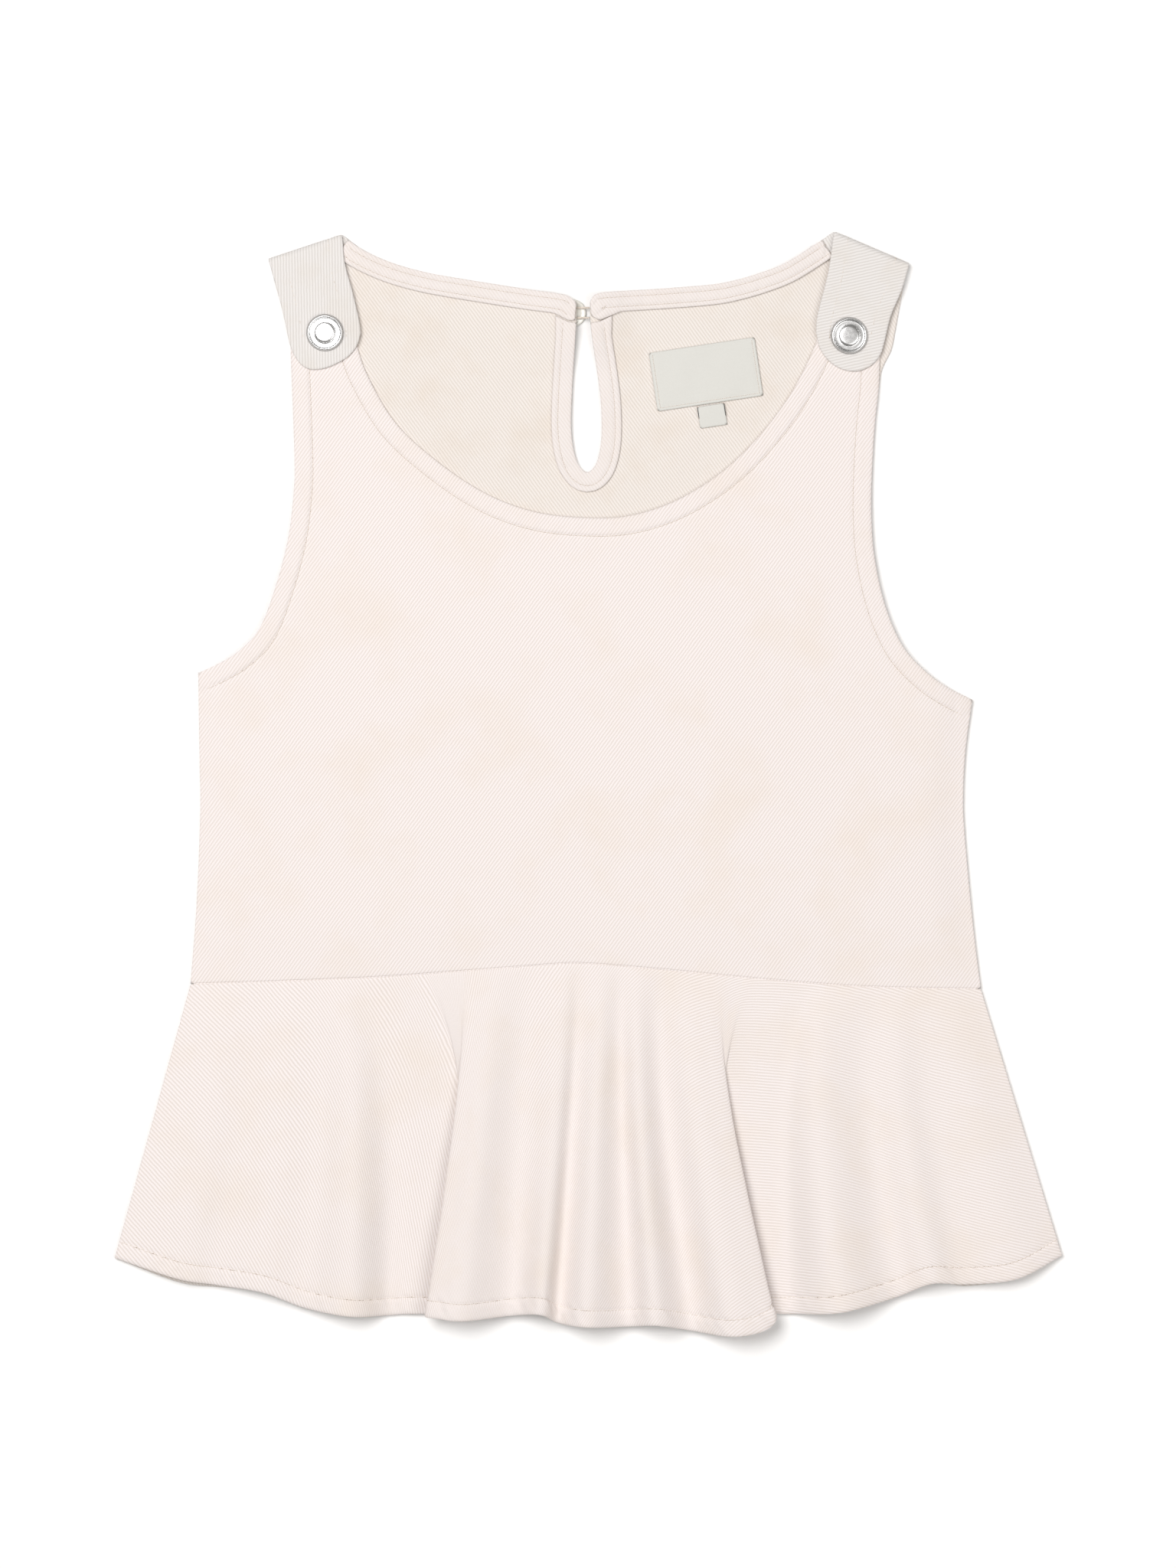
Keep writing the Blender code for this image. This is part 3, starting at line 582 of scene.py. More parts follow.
def stitch_row(points, normals, pitch=STITCH_PITCH, radius=THREAD, length=STITCH_LENGTH):
    """Stitches, and sunk dots of painted shade between them, along a line on a surface: points and triangles
    of each.
    """
    at = lengths(points)
    count = max(int(at[-1] / pitch), 1)
    places = (np.arange(count) + 0.5) * at[-1] / count
    centre = np.column_stack([np.interp(places, at, points[:, k]) for k in range(3)])
    ahead = np.column_stack([np.interp(places + 0.3, at, points[:, k]) for k in range(3)])
    behind = np.column_stack([np.interp(places - 0.3, at, points[:, k]) for k in range(3)])
    up = np.column_stack([np.interp(places, at, normals[:, k]) for k in range(3)])
    run = ahead - behind
    run /= np.linalg.norm(run, axis=1)[:, None]
    side = np.cross(up, run)
    side /= np.linalg.norm(side, axis=1)[:, None]
    up = np.cross(run, side)
    half = pitch * length / 2
    sides = 6
    verts = []
    for place, wide, lift in STITCH_FORM:
        for k in range(sides):
            turn = 2 * math.pi * k / sides
            verts.append(
                centre + run * (place * half)
                + side * (radius * wide * math.cos(turn))
                + up * (radius * (wide * 0.85 * math.sin(turn) + lift))
            )
    verts = np.stack(verts, axis=1)
    faces = tube_faces(len(STITCH_FORM), sides)
    every = np.vstack([faces + i * verts.shape[1] for i in range(count)])

    # painted shade: a small dark sunk disc at each needle hole, between the stitches
    shade_dot_at = np.arange(count + 1) * at[-1] / count
    shade_dot_centre = np.column_stack([np.interp(shade_dot_at, at, points[:, k]) for k in range(3)])
    pick = np.minimum(np.arange(count + 1), count - 1)
    ring = [
        shade_dot_centre + run[pick] * (SHADE_DOT * math.cos(w)) + side[pick] * (0.8 * SHADE_DOT * math.sin(w))
        - up[pick] * SHADE_DOT_RIM
        for w in 2 * math.pi * np.arange(sides) / sides
    ]
    ring.append(shade_dot_centre - up[pick] * SHADE_DOT_MIDDLE)
    shade_dot_verts = np.stack(ring, axis=1)
    cone = np.array([(sides, k, (k + 1) % sides) for k in range(sides)])
    shade_dot_faces = np.vstack([cone + i * (sides + 1) for i in range(count + 1)])
    return verts.reshape(-1, 3), every, shade_dot_verts.reshape(-1, 3), shade_dot_faces


def stitching(name, rows, look):
    """One object from several rows of stitches and their sunk dots of painted shade."""
    points, faces, kinds, start = [], [], [], 0
    for row in rows:
        for kind in (0, 1):
            points.append(row[2 * kind])
            faces.append(row[2 * kind + 1] + start)
            kinds += [kind] * len(row[2 * kind + 1])
            start += len(row[2 * kind])
    made = mesh_object(name, np.vstack(points), np.vstack(faces), look)
    # the second material is the painted shade of each needle hole
    made.data.materials.append(HOLE_SHADE_LOOK)
    made.data.polygons.foreach_set("material_index", kinds)
    return made


def on_surface(line, surface):
    """Points and normals of a surface over (x, y) along a line."""
    step = 0.25
    line = np.asarray(line, float)
    height = surface(line)
    slope_x = (surface(line + [step, 0]) - surface(line - [step, 0])) / (2 * step)
    slope_y = (surface(line + [0, step]) - surface(line - [0, step])) / (2 * step)
    normals = np.column_stack([-slope_x, -slope_y, np.ones(len(line))])
    normals /= np.linalg.norm(normals, axis=1)[:, None]
    return np.column_stack([line, height]), normals


# Materials

def maths(tree, operation, *inputs):
    """The output of a math node on sockets or numbers."""
    node = tree.nodes.new("ShaderNodeMath")
    node.operation = operation
    for socket, value in zip(node.inputs, inputs):
        if isinstance(value, bpy.types.NodeSocket):
            tree.links.new(value, socket)
        else:
            socket.default_value = value
    return node.outputs[0]


def new_look(name, roughness, metallic=0.0):
    made = bpy.data.materials.new(name)
    made.use_nodes = True
    shader = made.node_tree.nodes["Principled BSDF"]
    shader.inputs["Roughness"].default_value = roughness
    shader.inputs["Metallic"].default_value = metallic
    return made, made.node_tree, shader


def noise(tree, vector, scale, detail=2.0, roughness=0.5):
    node = tree.nodes.new("ShaderNodeTexNoise")
    node.inputs["Scale"].default_value = scale
    node.inputs["Detail"].default_value = detail
    node.inputs["Roughness"].default_value = roughness
    tree.links.new(vector, node.inputs["Vector"])
    return node.outputs["Fac"]


def mixed(tree, share, a, b):
    """A mix of two colours, or a colour socket with a colour."""
    node = tree.nodes.new("ShaderNodeMix")
    node.data_type = "RGBA"
    tree.links.new(share, node.inputs["Factor"])
    for socket, value in ((node.inputs["A"], a), (node.inputs["B"], b)):
        if isinstance(value, bpy.types.NodeSocket):
            tree.links.new(value, socket)
        else:
            socket.default_value = (*value, 1.0)
    return node.outputs["Result"]


def ranged(tree, value, source, target):
    """A value brought from one range to another."""
    node = tree.nodes.new("ShaderNodeMapRange")
    for name, number in zip(("From Min", "From Max", "To Min", "To Max"), (*source, *target)):
        node.inputs[name].default_value = number
    tree.links.new(value, node.inputs["Value"])
    return node.outputs["Result"]


def bumped(tree, shader, height, strength, depth):
    """Fine relief on a shader, depth in metres."""
    node = tree.nodes.new("ShaderNodeBump")
    node.inputs["Strength"].default_value = strength
    node.inputs["Distance"].default_value = depth
    tree.links.new(height, node.inputs["Height"])
    tree.links.new(node.outputs["Normal"], shader.inputs["Normal"])


def flat_place(tree):
    """The place in the flat cut, and its two coordinates."""
    node = tree.nodes.new("ShaderNodeUVMap")
    node.uv_map = FLAT_MAP
    split = tree.nodes.new("ShaderNodeSeparateXYZ")
    tree.links.new(node.outputs["UV"], split.inputs[0])
    return node.outputs["UV"], split.outputs["X"], split.outputs["Y"]


def sine(tree, value):
    return maths(tree, "SINE", value, 0.0)


TWILL_ANGLE = 54.0
TWILL_PITCH = 0.00135
WARP_PITCH = 0.00058


def twill(name, light, beige, groove, mottle, contrast, depth, patch=22.0):
    """Cotton twill: diagonal ribs, the yarns that cross them, uneven dye and a little fuzz, with painted
    shade where the relief lies low.
    """
    look, tree, shader = new_look(name, 0.92)
    shader.inputs["Sheen Weight"].default_value = 0.12
    shader.inputs["Sheen Roughness"].default_value = 0.6
    shader.inputs["Specular IOR Level"].default_value = 0.2
    place, x, y = flat_place(tree)
    angle = math.radians(TWILL_ANGLE)
    across = maths(tree, "SUBTRACT", maths(tree, "MULTIPLY", y, math.cos(angle)),
                   maths(tree, "MULTIPLY", x, math.sin(angle)))
    uneven = maths(tree, "SUBTRACT", noise(tree, place, 260.0, 3.0), 0.5)
    wander = maths(tree, "MULTIPLY", uneven, 2.4)
    phase = maths(tree, "MULTIPLY_ADD", across, 2 * math.pi / TWILL_PITCH, wander)
    rib = maths(tree, "MULTIPLY_ADD", sine(tree, phase), 0.5, 0.5)
    warp = sine(tree, maths(tree, "MULTIPLY", x, 2 * math.pi / WARP_PITCH))
    yarn = maths(tree, "MULTIPLY_ADD", warp, 0.12, 0.5)
    fuzz = noise(tree, place, 2600.0, 2.0, 0.6)
    height = maths(tree, "MULTIPLY_ADD", rib, 0.62, maths(tree, "MULTIPLY", yarn, 0.45))
    height = maths(tree, "MULTIPLY_ADD", maths(tree, "SUBTRACT", fuzz, 0.5), 0.5, height)

    cloud = ranged(tree, noise(tree, place, patch, 4.0, 0.6), (0.48, 0.68), (0.0, mottle))
    ground = mixed(tree, cloud, light, beige)
    # painted shade: the lower the relief, the more of the groove colour
    groove_shade_share = ranged(tree, height, (0.75, 0.15), (0.0, contrast))
    tree.links.new(mixed(tree, groove_shade_share, ground, groove), shader.inputs["Base Color"])
    bumped(tree, shader, height, 0.55, depth)
    return look


def plain_weave(name, warp, weft, pitch, depth, contrast):
    """A closely woven ribbon: fine threads both ways."""
    look, tree, shader = new_look(name, 0.72)
    shader.inputs["Sheen Weight"].default_value = 0.1
    place, x, y = flat_place(tree)
    one = sine(tree, maths(tree, "MULTIPLY", x, 2 * math.pi / pitch))
    two = sine(tree, maths(tree, "MULTIPLY", y, 2 * math.pi / (pitch * 0.7)))
    weave = maths(tree, "MULTIPLY_ADD", maths(tree, "MULTIPLY", one, two), 0.5, 0.5)
    fuzz = noise(tree, place, 900.0, 3.0, 0.6)
    height = maths(tree, "MULTIPLY_ADD", fuzz, 0.6, maths(tree, "MULTIPLY", weave, 0.5))
    share = maths(tree, "MULTIPLY", height, contrast)
    tree.links.new(mixed(tree, share, warp, weft), shader.inputs["Base Color"])
    bumped(tree, shader, height, 0.5, depth)
    return look


def speckled(name, roughness, metallic, grain, pale, dark):
    """A look with fine light and dark specks. grain is the scale, detail and roughness of its noise."""
    look, tree, shader = new_look(name, roughness, metallic)
    place = tree.nodes.new("ShaderNodeTexCoord").outputs["Object"]
    share = noise(tree, place, *grain)
    tree.links.new(mixed(tree, share, dark, pale), shader.inputs["Base Color"])
    return look, tree, shader, share


def thread_look(name, pale, dark):
    """Sewing thread: twisted, so lighter and darker along its length."""
    look, _, shader, _ = speckled(name, 0.7, 0.0, (1400.0, 2.0), pale, dark)
    shader.inputs["Sheen Weight"].default_value = 0.2
    return look


def metal_look(name, pale, dark, roughness):
    """Satin nickel: fine lighter and darker specks, which also vary its roughness and relief."""
    look, tree, shader, share = speckled(name, roughness, 1.0, (700.0, 4.0, 0.65), pale, dark)
    rough = ranged(tree, share, (0.0, 1.0), (roughness * 0.8, roughness * 1.3))
    tree.links.new(rough, shader.inputs["Roughness"])
    bumped(tree, shader, share, 0.15, 0.00005)
    return look


def resin_look(name, pale, dark):
    """Resin with a thin gloss."""
    look, _, shader, _ = speckled(name, 0.3, 0.0, (260.0, 3.0), pale, dark)
    shader.inputs["Coat Weight"].default_value = 0.3
    return look


# light and beige: colours of the ribs and the dye's patches; groove: painted shade where the weave lies low
TWILL_FORMS = {
    "twill_outside": {
        "light": (0.84, 0.785, 0.775), "beige": (0.81, 0.725, 0.655), "groove": (0.60, 0.525, 0.47),
        "mottle": 0.5, "contrast": 0.62, "depth": 0.00012,
    },
    "twill_inside": {
        "light": (0.79, 0.74, 0.705), "beige": (0.75, 0.67, 0.60), "groove": (0.55, 0.49, 0.42),
        "mottle": 0.6, "contrast": 0.55, "depth": 0.00016, "patch": 34.0,
    },
    "twill_turned": {
        "light": (0.79, 0.74, 0.725), "beige": (0.77, 0.69, 0.64), "groove": (0.62, 0.55, 0.49),
        "mottle": 0.4, "contrast": 0.45, "depth": 0.00010,
    },
    "twill_strap": {
        "light": (0.755, 0.73, 0.715), "beige": (0.72, 0.675, 0.625), "groove": (0.53, 0.50, 0.47),
        "mottle": 0.6, "contrast": 0.62, "depth": 0.00012, "patch": 60.0,
    },
}
TWILL, INSIDE, TURNED, FACED = (twill(name, **form) for name, form in TWILL_FORMS.items())
LABEL_LOOK = plain_weave(
    "label_weave", warp=(0.60, 0.595, 0.56), weft=(0.68, 0.675, 0.64),
    pitch=0.0006, depth=0.00005, contrast=0.9,
)
THREAD_LOOK = thread_look("sewing_thread", (0.84, 0.79, 0.74), (0.62, 0.55, 0.48))
# painted shade: the dark colour of the dots at the needle holes
HOLE_SHADE_LOOK = thread_look("needle_hole_painted_shade", (0.50, 0.41, 0.35), (0.38, 0.30, 0.25))
CORD_LOOK = thread_look("cotton_cord", (0.80, 0.74, 0.67), (0.60, 0.52, 0.44))
DARK_THREAD = thread_look("dark_edge_thread", (0.12, 0.12, 0.12), (0.05, 0.05, 0.05))
STEEL = metal_look("satin_nickel", (0.74, 0.74, 0.74), (0.60, 0.60, 0.60), 0.24)
BUTTON_LOOK = resin_look("pale_resin", (0.82, 0.81, 0.76), (0.70, 0.69, 0.63))


# Heights of the layers

WAIST_CURVE = spline(WAIST, 4)
LEFT_CURVE = spline(SIDE_LEFT, 3)
RIGHT_CURVE = spline(SIDE_RIGHT, 3)
NECK_CURVE = spline(FRONT_NECK, 6)
ARM_LEFT_CURVE = spline(FRONT_ARM_LEFT, 4)
ARM_RIGHT_CURVE = spline(FRONT_ARM_RIGHT, 4)


def from_side(xy):
    """Distance to the nearer side seam."""
    left = xy[:, 0] - along(LEFT_CURVE, 1, xy[:, 1])
    return np.minimum(left, along(RIGHT_CURVE, 1, xy[:, 1]) - xy[:, 0])


def back_swell(xy):
    """Soft crinkles of the back where it shows in the neck opening."""
    above = 300.0
    neck = np.vstack([NECK_CURVE, [[NECK_CURVE[-1][0], above], [NECK_CURVE[0][0], above]]])
    away, _ = nearest(xy, NECK_CURVE)
    open_here = np.where(inside(xy, neck), ease((away - SWELL_CLEAR) / SWELL_FADE), 0.0)
    (coarse, long, first), (fine, short, second) = SWELLS
    return open_here * (coarse * (swell(xy, first, long) + 1.0) + fine * swell(xy, second, short))


def back_middle(xy):
    away = np.hypot(xy[:, 0] - BUTTON_PLACE[0], xy[:, 1] - BUTTON_PLACE[1])
    return BACK_MID + BUTTON_LIFT * (1.0 - ease((away - LIFT_FLAT) / LIFT_RUN)) + back_swell(xy)


def front_middle(xy):
    x, y = xy[:, 0], xy[:, 1]
    sideways = ease(from_side(xy) / SIDE_ROLL)
    upwards = 1.0 - ease((y - PUFF_END) / PUFF_FADE)
    at_waist = WAIST_PUFF + (1.0 - WAIST_PUFF) * ease((y - WAIST_LOW) / WAIST_RISE)
    return FRONT_MID + FRONT_PUFF * sideways * upwards * at_waist


def strap_middle(xy):
    return front_middle(xy) + STRAP_OVER_FRONT


def neck_strip_middle(xy):
    return back_middle(xy) - BACK_MID + STRAP + GAP + STRIP / 2


def on_back_middle(xy):
    return back_middle(xy) + CLOTH / 2 + GAP + STRIP / 2


def hem_relief(away, place, row, seed, puff, groove, pucker, slant=0.4):
    """A turned hem: full up to its stitch row, pulled in there, and puckered along it."""
    band = puff * (1.0 - ease((away - row + 1.6) / 1.9))
    line = -groove * bell(away, row, 0.75)
    near = bell(away, row * 0.75, row * 0.62)
    return band + line + pucker * near * waves(place + slant * away, seed, 6.5)


def front_relief(xy):
    total = 0.18 * swell(xy, 11, 70.0) + 0.05 * swell(xy, 12, 18.0)
    for curve, seed in ((NECK_CURVE, 21), (ARM_LEFT_CURVE, 22), (ARM_RIGHT_CURVE, 23)):
        away, place = nearest(xy, curve)
        total += hem_relief(away, place, NECK_ROW, seed, 0.35, 0.4, 0.15)
    return total


def front_top(xy):
    return front_middle(xy) + CLOTH / 2 + front_relief(xy)


def plain(xy):
    return np.zeros(len(xy))


def as_laid(xy):
    return xy


def mirrored(xy):
    """The cut of a piece that shows its inside."""
    return xy * [-1.0, 1.0]


def finish_piece(piece, slot_name, *nodes):
    """What every piece needs: its body and the solids that it stands for; slot_name, its finish, is not used.
    """
    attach(piece, BODY)
    if nodes:
        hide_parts(*nodes)


# Front and back of the bodice

def waist_edge(curve):
    return curve + [0.0, GAP / 2]


def fold_frame(strap):
    """Start, direction along the fold and direction into the top of a strap's fold line."""
    a, b = (np.array(p) for p in strap["fold"])
    run = (b - a) / np.linalg.norm(b - a)
    return a, run, np.array([run[1], -run[0]])


def strap_seam(strap, depth):
    """The two ends of a line across the strap's back part, at a depth under the fold."""
    a, _, inward = fold_frame(strap)
    ends = []
    for side in ("back_left", "back_right"):
        curve = [np.array(p) for p in strap[side]]
        curve.append(2 * curve[-1] - curve[-2])
        depths = [float(np.dot(p - a, inward)) for p in curve]
        ends.append(tuple(float(np.interp(depth, depths, [p[k] for p in curve])) for k in (0, 1)))
    return ends


def make_bodice():
    waist = waist_edge(WAIST_CURVE)
    front = joined(
        waist, RIGHT_CURVE[1:], ARM_RIGHT_CURVE, NECK_CURVE[::-1], ARM_LEFT_CURVE[::-1], LEFT_CURVE[1:][::-1],
    )
    made_front = panel(
        "front_bodice_cloth", front, HEM_ROWS, PANEL_STEPS, front_middle, front_relief,
        CLOTH, as_laid, TWILL,
    )
    seams = {name: strap_seam(STRAPS[name], STRAP_BACK + GAP) for name in STRAPS}
    arm_right = spline([*BACK_ARM_RIGHT, seams["strap_right"][1]], 4)
    arm_left = spline([*BACK_ARM_LEFT, seams["strap_left"][0]], 4)
    neck_right = spline([*BACK_NECK_RIGHT, seams["strap_right"][0]], 4)
    neck_left = spline([seams["strap_left"][1], *BACK_NECK_LEFT], 4)
    back = joined(
        waist, RIGHT_CURVE[1:], arm_right, neck_right[::-1], spline(KEYHOLE, 4)[::-1], neck_left[::-1],
        arm_left[::-1], LEFT_CURVE[1:][::-1],
    )
    made_back = panel(
        "back_bodice_cloth", back, HEM_ROWS, PANEL_STEPS, back_middle, plain,
        CLOTH, mirrored, INSIDE,
    )
    return made_front, made_back


def row_inside(curve, distance, skip_start, skip_end):
    """A line inside an edge, without its first and last millimetres."""
    line = resampled(shifted(curve, distance), 0.8, keep_corners=False)
    at = lengths(line)
    return line[(at > skip_start) & (at < at[-1] - skip_end)]


def make_waist_fold():
    """The folded allowance that fills the ditch of the waist seam, as a soft narrow roll."""
    line = resampled(WAIST_CURVE, 1.5, False)[1:-1]
    height = front_middle(line) + WAIST_FOLD_LIFT
    centre = np.column_stack([line, height])
    run = np.gradient(centre, axis=0)
    run /= np.linalg.norm(run, axis=1)[:, None]
    side = np.cross([0.0, 0.0, 1.0], run)
    up = np.cross(run, side)
    sides = 8
    points, faces = tube(centre, side, up, WAIST_FOLD, sides)
    flat = np.repeat(line, sides, axis=0)
    return mesh_object("waist_seam_fold", points, faces, TWILL, flat)


def make_front_stitching():
    rows = []
    for curve, side, skips in (
        (NECK_CURVE, -1, (22.0, 20.0)), (ARM_LEFT_CURVE, -1, (0.5, 18.0)), (ARM_RIGHT_CURVE, 1, (0.5, 18.0)),
    ):
        line = row_inside(curve, side * NECK_ROW, *skips)
        rows.append(stitch_row(*on_surface(line, lambda xy: front_top(xy) + STITCH_LIFT)))
    return stitching("front_stitching", rows, THREAD_LOOK)


# Straps

def make_strap(name):
    """A strap cut flat across its fold, then rolled over the shoulder line, and its stitching."""
    form = STRAPS[name]
    a, run, inward = fold_frame(form)
    low, high = STRAP / 2, FRONT_MID + STRAP_OVER_FRONT
    radius = (high - low) / 2
    quarter = math.pi * radius / 2
    snap = SNAPS[name.replace("strap", "snap_cap")]["place"]

    def unrolled(point, side):
        offset = np.array(point) - a
        depth = max(float(np.dot(offset, inward)), 0.0)
        if depth < radius:
            length = radius * math.acos(1.0 - depth / radius)
        else:
            length = depth - radius + quarter
        return float(np.dot(offset, run)), side * length

    def rolled(ts):
        t, s = ts[:, 0], ts[:, 1]
        bend = np.clip(s / radius, -math.pi / 2, math.pi / 2)
        depth = radius * (1.0 - np.cos(bend)) + np.maximum(np.abs(s) - quarter, 0.0)
        height = low + radius * (1.0 + np.sin(bend))
        xy = a + run * t[:, None] + inward * depth[:, None]
        height = height + np.where(s > quarter, strap_middle(xy) - high, 0.0)
        return np.column_stack([xy, height])

    seam = strap_seam(form, STRAP_BACK)

    def edge(front, back):
        points = [unrolled(p, 1) for p in front]
        points += [unrolled(p, -1) for p in back if np.dot(np.array(p) - a, inward) < STRAP_BACK + 0.01]
        points = np.array(sorted({(round(s, 4), round(t, 4)) for t, s in points}, reverse=True))
        return points[:, ::-1]

    left = edge(spline(form["left"], 4)[::-1], [*form["back_left"], seam[0]])
    right = edge(spline(form["right"], 4), [*form["back_right"], seam[1]])
    tab = np.array([unrolled(p, 1) for p in spline(form["tab"], 4)])
    outline = resampled(closed(joined(tab, right, left[::-1])), STRAP_STEPS[0])[:-1]
    near = edge_rows(outline, np.array(STRAP_ROWS))
    grid = grid_inside(outline, STRAP_STEPS[1], STRAP_ROWS[-1] + 1.0)
    flat, faces = filled(outline, np.vstack([near, grid]))
    away, _ = nearest(flat, closed(outline))
    rim = away < ON_RIM
    middle = rolled(flat)
    sewn = np.vstack([left[::-1], tab, right])

    def relief(ts):
        edge_away, edge_place = nearest(ts, sewn)
        xy = rolled(ts)[:, :2]
        from_snap = np.hypot(xy[:, 0] - snap[0], xy[:, 1] - snap[1])
        row = 0.16 * (1.0 - ease((edge_away - STRAP_ROW + 1.4) / 1.6))
        line = -0.28 * bell(edge_away, STRAP_ROW, 0.7) * ease((from_snap - 12.5) / 2.0)
        face = -0.22 * bell(edge_away, 1.5, 0.45) * ease((ts[:, 1] - quarter) / 4.0)
        ring = -0.3 * bell(from_snap, 11.6, 1.3) - 0.12 * (1.0 - ease((from_snap - 11.0) / 3.0))
        near_row = bell(edge_away, 5.0, 4.5)
        pucker = 0.09 * near_row * waves(edge_place + 0.4 * edge_away, 31, 6.0)
        return row + line + face + ring + pucker + 0.08 * swell(ts, 33, 16.0)

    cut = rotated(a + run * flat[:, :1] + inward * flat[:, 1:], -form["twill"])
    made = shell(f"{name}_cloth", middle, faces, rim, away, STRAP, relief(flat), cut, FACED)

    rows = []
    for side, sign in ((left, -1), (right, 1)):
        ordered = side[np.argsort(side[:, 1])]
        line = resampled(ordered, 0.7, keep_corners=False)
        line[:, 0] -= sign * STRAP_ROW
        xy = rolled(line)[:, :2]
        clear = np.hypot(xy[:, 0] - snap[0], xy[:, 1] - snap[1]) > 9.2
        line = line[clear & (line[:, 1] > -quarter - 5.0)]
        step = 0.3
        here = rolled(line)
        ahead = rolled(line + [0, step]) - rolled(line - [0, step])
        aside = rolled(line + [step, 0]) - rolled(line - [step, 0])
        normals = np.cross(aside, -ahead)
        normals /= np.linalg.norm(normals, axis=1)[:, None]
        if np.mean(normals[line[:, 1] > quarter][:, 2]) < 0:
            normals = -normals
        points = here + normals * (STRAP / 2 + relief(line) + STITCH_LIFT)[:, None]
        rows.append(stitch_row(points, normals))
    sewing = stitching(f"{name}_stitching", rows, THREAD_LOOK)
    return made, sewing


# Peplum

def seam_place(angle):
    """X on the waist seam of the cloth at an angle of the cut."""
    share = (angle + SECTOR) / (2 * SECTOR)
    return WAIST[0][0] + share * (WAIST[-1][0] - WAIST[0][0])


def peplum_middle(folds, places, v, side_height, middle_height):
    """The peplum's middle surface at fold places and shares of the way down, both of one shape."""
    angle, top, hem_x, hem_y, height = spline_at(folds, places.ravel()).T
    v = v.ravel()
    seam_x = (1 - SEAM_SHARE) * top + SEAM_SHARE * seam_place(angle)
    seam_x = np.clip(seam_x, WAIST[0][0], WAIST[-1][0])
    seam_y = along(WAIST_CURVE, 0, seam_x) - GAP / 2
    from_edge = np.minimum(seam_x - WAIST[0][0], WAIST[-1][0] - seam_x)
    seam_z = side_height + (middle_height - side_height) * ease(from_edge / SIDE_ROLL)
    x = top + (hem_x - top) * v + (seam_x - top) * (1 - v) ** 4
    y = seam_y + (hem_y - seam_y) * v
    z = np.maximum(seam_z + (height - seam_z) * v**FOLD_RISE, side_height)
    return np.column_stack([x, y, z]), angle


def make_peplum(name, folds, side_height, middle_height, per, look, seed, face_up):
    """A loft from the waist seam to the hem through the fold rows, with a turned and stitched hem."""
    count = len(folds) - 1
    side = np.array(PEPLUM_SIDE)
    places = np.concatenate([side, np.linspace(0.1, count - 0.1, (count - 1) * per + 8), count - side[::-1]])
    length = PEPLUM_LENGTH
    between = np.arange(9.2, length - 13.5, 2.1)
    downs = np.concatenate([PEPLUM_SEAM_ROWS, between, length - np.array(PEPLUM_HEM_ROWS[::-1])]) / length
    place, down = np.meshgrid(places, downs)
    middle, angle = peplum_middle(folds, place, down, side_height, middle_height)
    rows, columns = place.shape
    index = np.arange(rows * columns).reshape(rows, columns)
    a, b, c, d = index[:-1, :-1], index[1:, :-1], index[1:, 1:], index[:-1, 1:]
    faces = np.vstack([
        np.column_stack([a.ravel(), b.ravel(), c.ravel()]),
        np.column_stack([a.ravel(), c.ravel(), d.ravel()]),
    ])
    points = middle.reshape(rows, columns, 3)
    steps = np.linalg.norm(np.diff(points, axis=0), axis=2)
    run = np.vstack([np.zeros(columns), np.cumsum(steps, axis=0)])
    to_hem = (run[-1] - run).ravel()
    to_seam = run.ravel()
    sideways = np.linalg.norm(np.diff(points, axis=1), axis=2)
    across = np.hstack([np.zeros((rows, 1)), np.cumsum(sideways, axis=1)])
    to_side = np.minimum(across, across[:, -1:] - across).ravel()
    along_hem = np.broadcast_to(across[-1], (rows, columns)).ravel()
    rim = np.zeros((rows, columns), bool)
    rim[0] = rim[-1] = True
    rim[:, 0] = rim[:, -1] = True
    from_rim = np.minimum(np.minimum(to_hem, to_seam), to_side)
    radius = SEAM_RADIUS + to_seam
    turn = np.radians(angle)
    cut = np.column_stack([radius * np.sin(turn), -radius * np.cos(turn)])

    def relief(hem_away, hem_place, xy):
        out = hem_relief(hem_away, hem_place, HEM_ROW, seed, 0.45, 0.42, 0.30, 0.7)
        return out + 0.12 * swell(xy, seed + 1, 26.0) * ease(hem_away / 12.0)

    rise = relief(to_hem, along_hem, cut)
    made = shell(name, middle, faces, rim.ravel(), from_rim, CLOTH, rise, cut, look)

    fine = np.linspace(0.02, count - 0.02, count * 60)
    hem_points, _ = peplum_middle(folds, fine, np.ones_like(fine), side_height, middle_height)
    seam_points, _ = peplum_middle(folds, fine, np.zeros_like(fine), side_height, middle_height)
    tall = np.linalg.norm(hem_points - seam_points, axis=1)
    v = 1.0 - HEM_ROW / tall
    step = 0.004
    line, line_angle = peplum_middle(folds, fine, v, side_height, middle_height)
    ahead, _ = peplum_middle(folds, fine + 0.01, v, side_height, middle_height)
    behind, _ = peplum_middle(folds, fine - 0.01, v, side_height, middle_height)
    lower, _ = peplum_middle(folds, fine, v + step, side_height, middle_height)
    upper, _ = peplum_middle(folds, fine, v - step, side_height, middle_height)
    normals = np.cross(lower - upper, ahead - behind)
    normals /= np.linalg.norm(normals, axis=1)[:, None]
    if not face_up:
        normals = -normals
    at_hem = np.interp(fine, places, across[-1])
    line_cut = np.column_stack([
        (SEAM_RADIUS + tall * v) * np.sin(np.radians(line_angle)),
        -(SEAM_RADIUS + tall * v) * np.cos(np.radians(line_angle)),
    ])
    lift = CLOTH / 2 + relief(np.full(len(fine), HEM_ROW), at_hem, line_cut) + STITCH_LIFT
    row = stitch_row(line + normals * lift[:, None], normals)
    sewing = stitching(f"{name.replace('_cloth', '')}_stitching", [row], THREAD_LOOK)
    return made, sewing


# Strips turned in at the back neck and round the keyhole

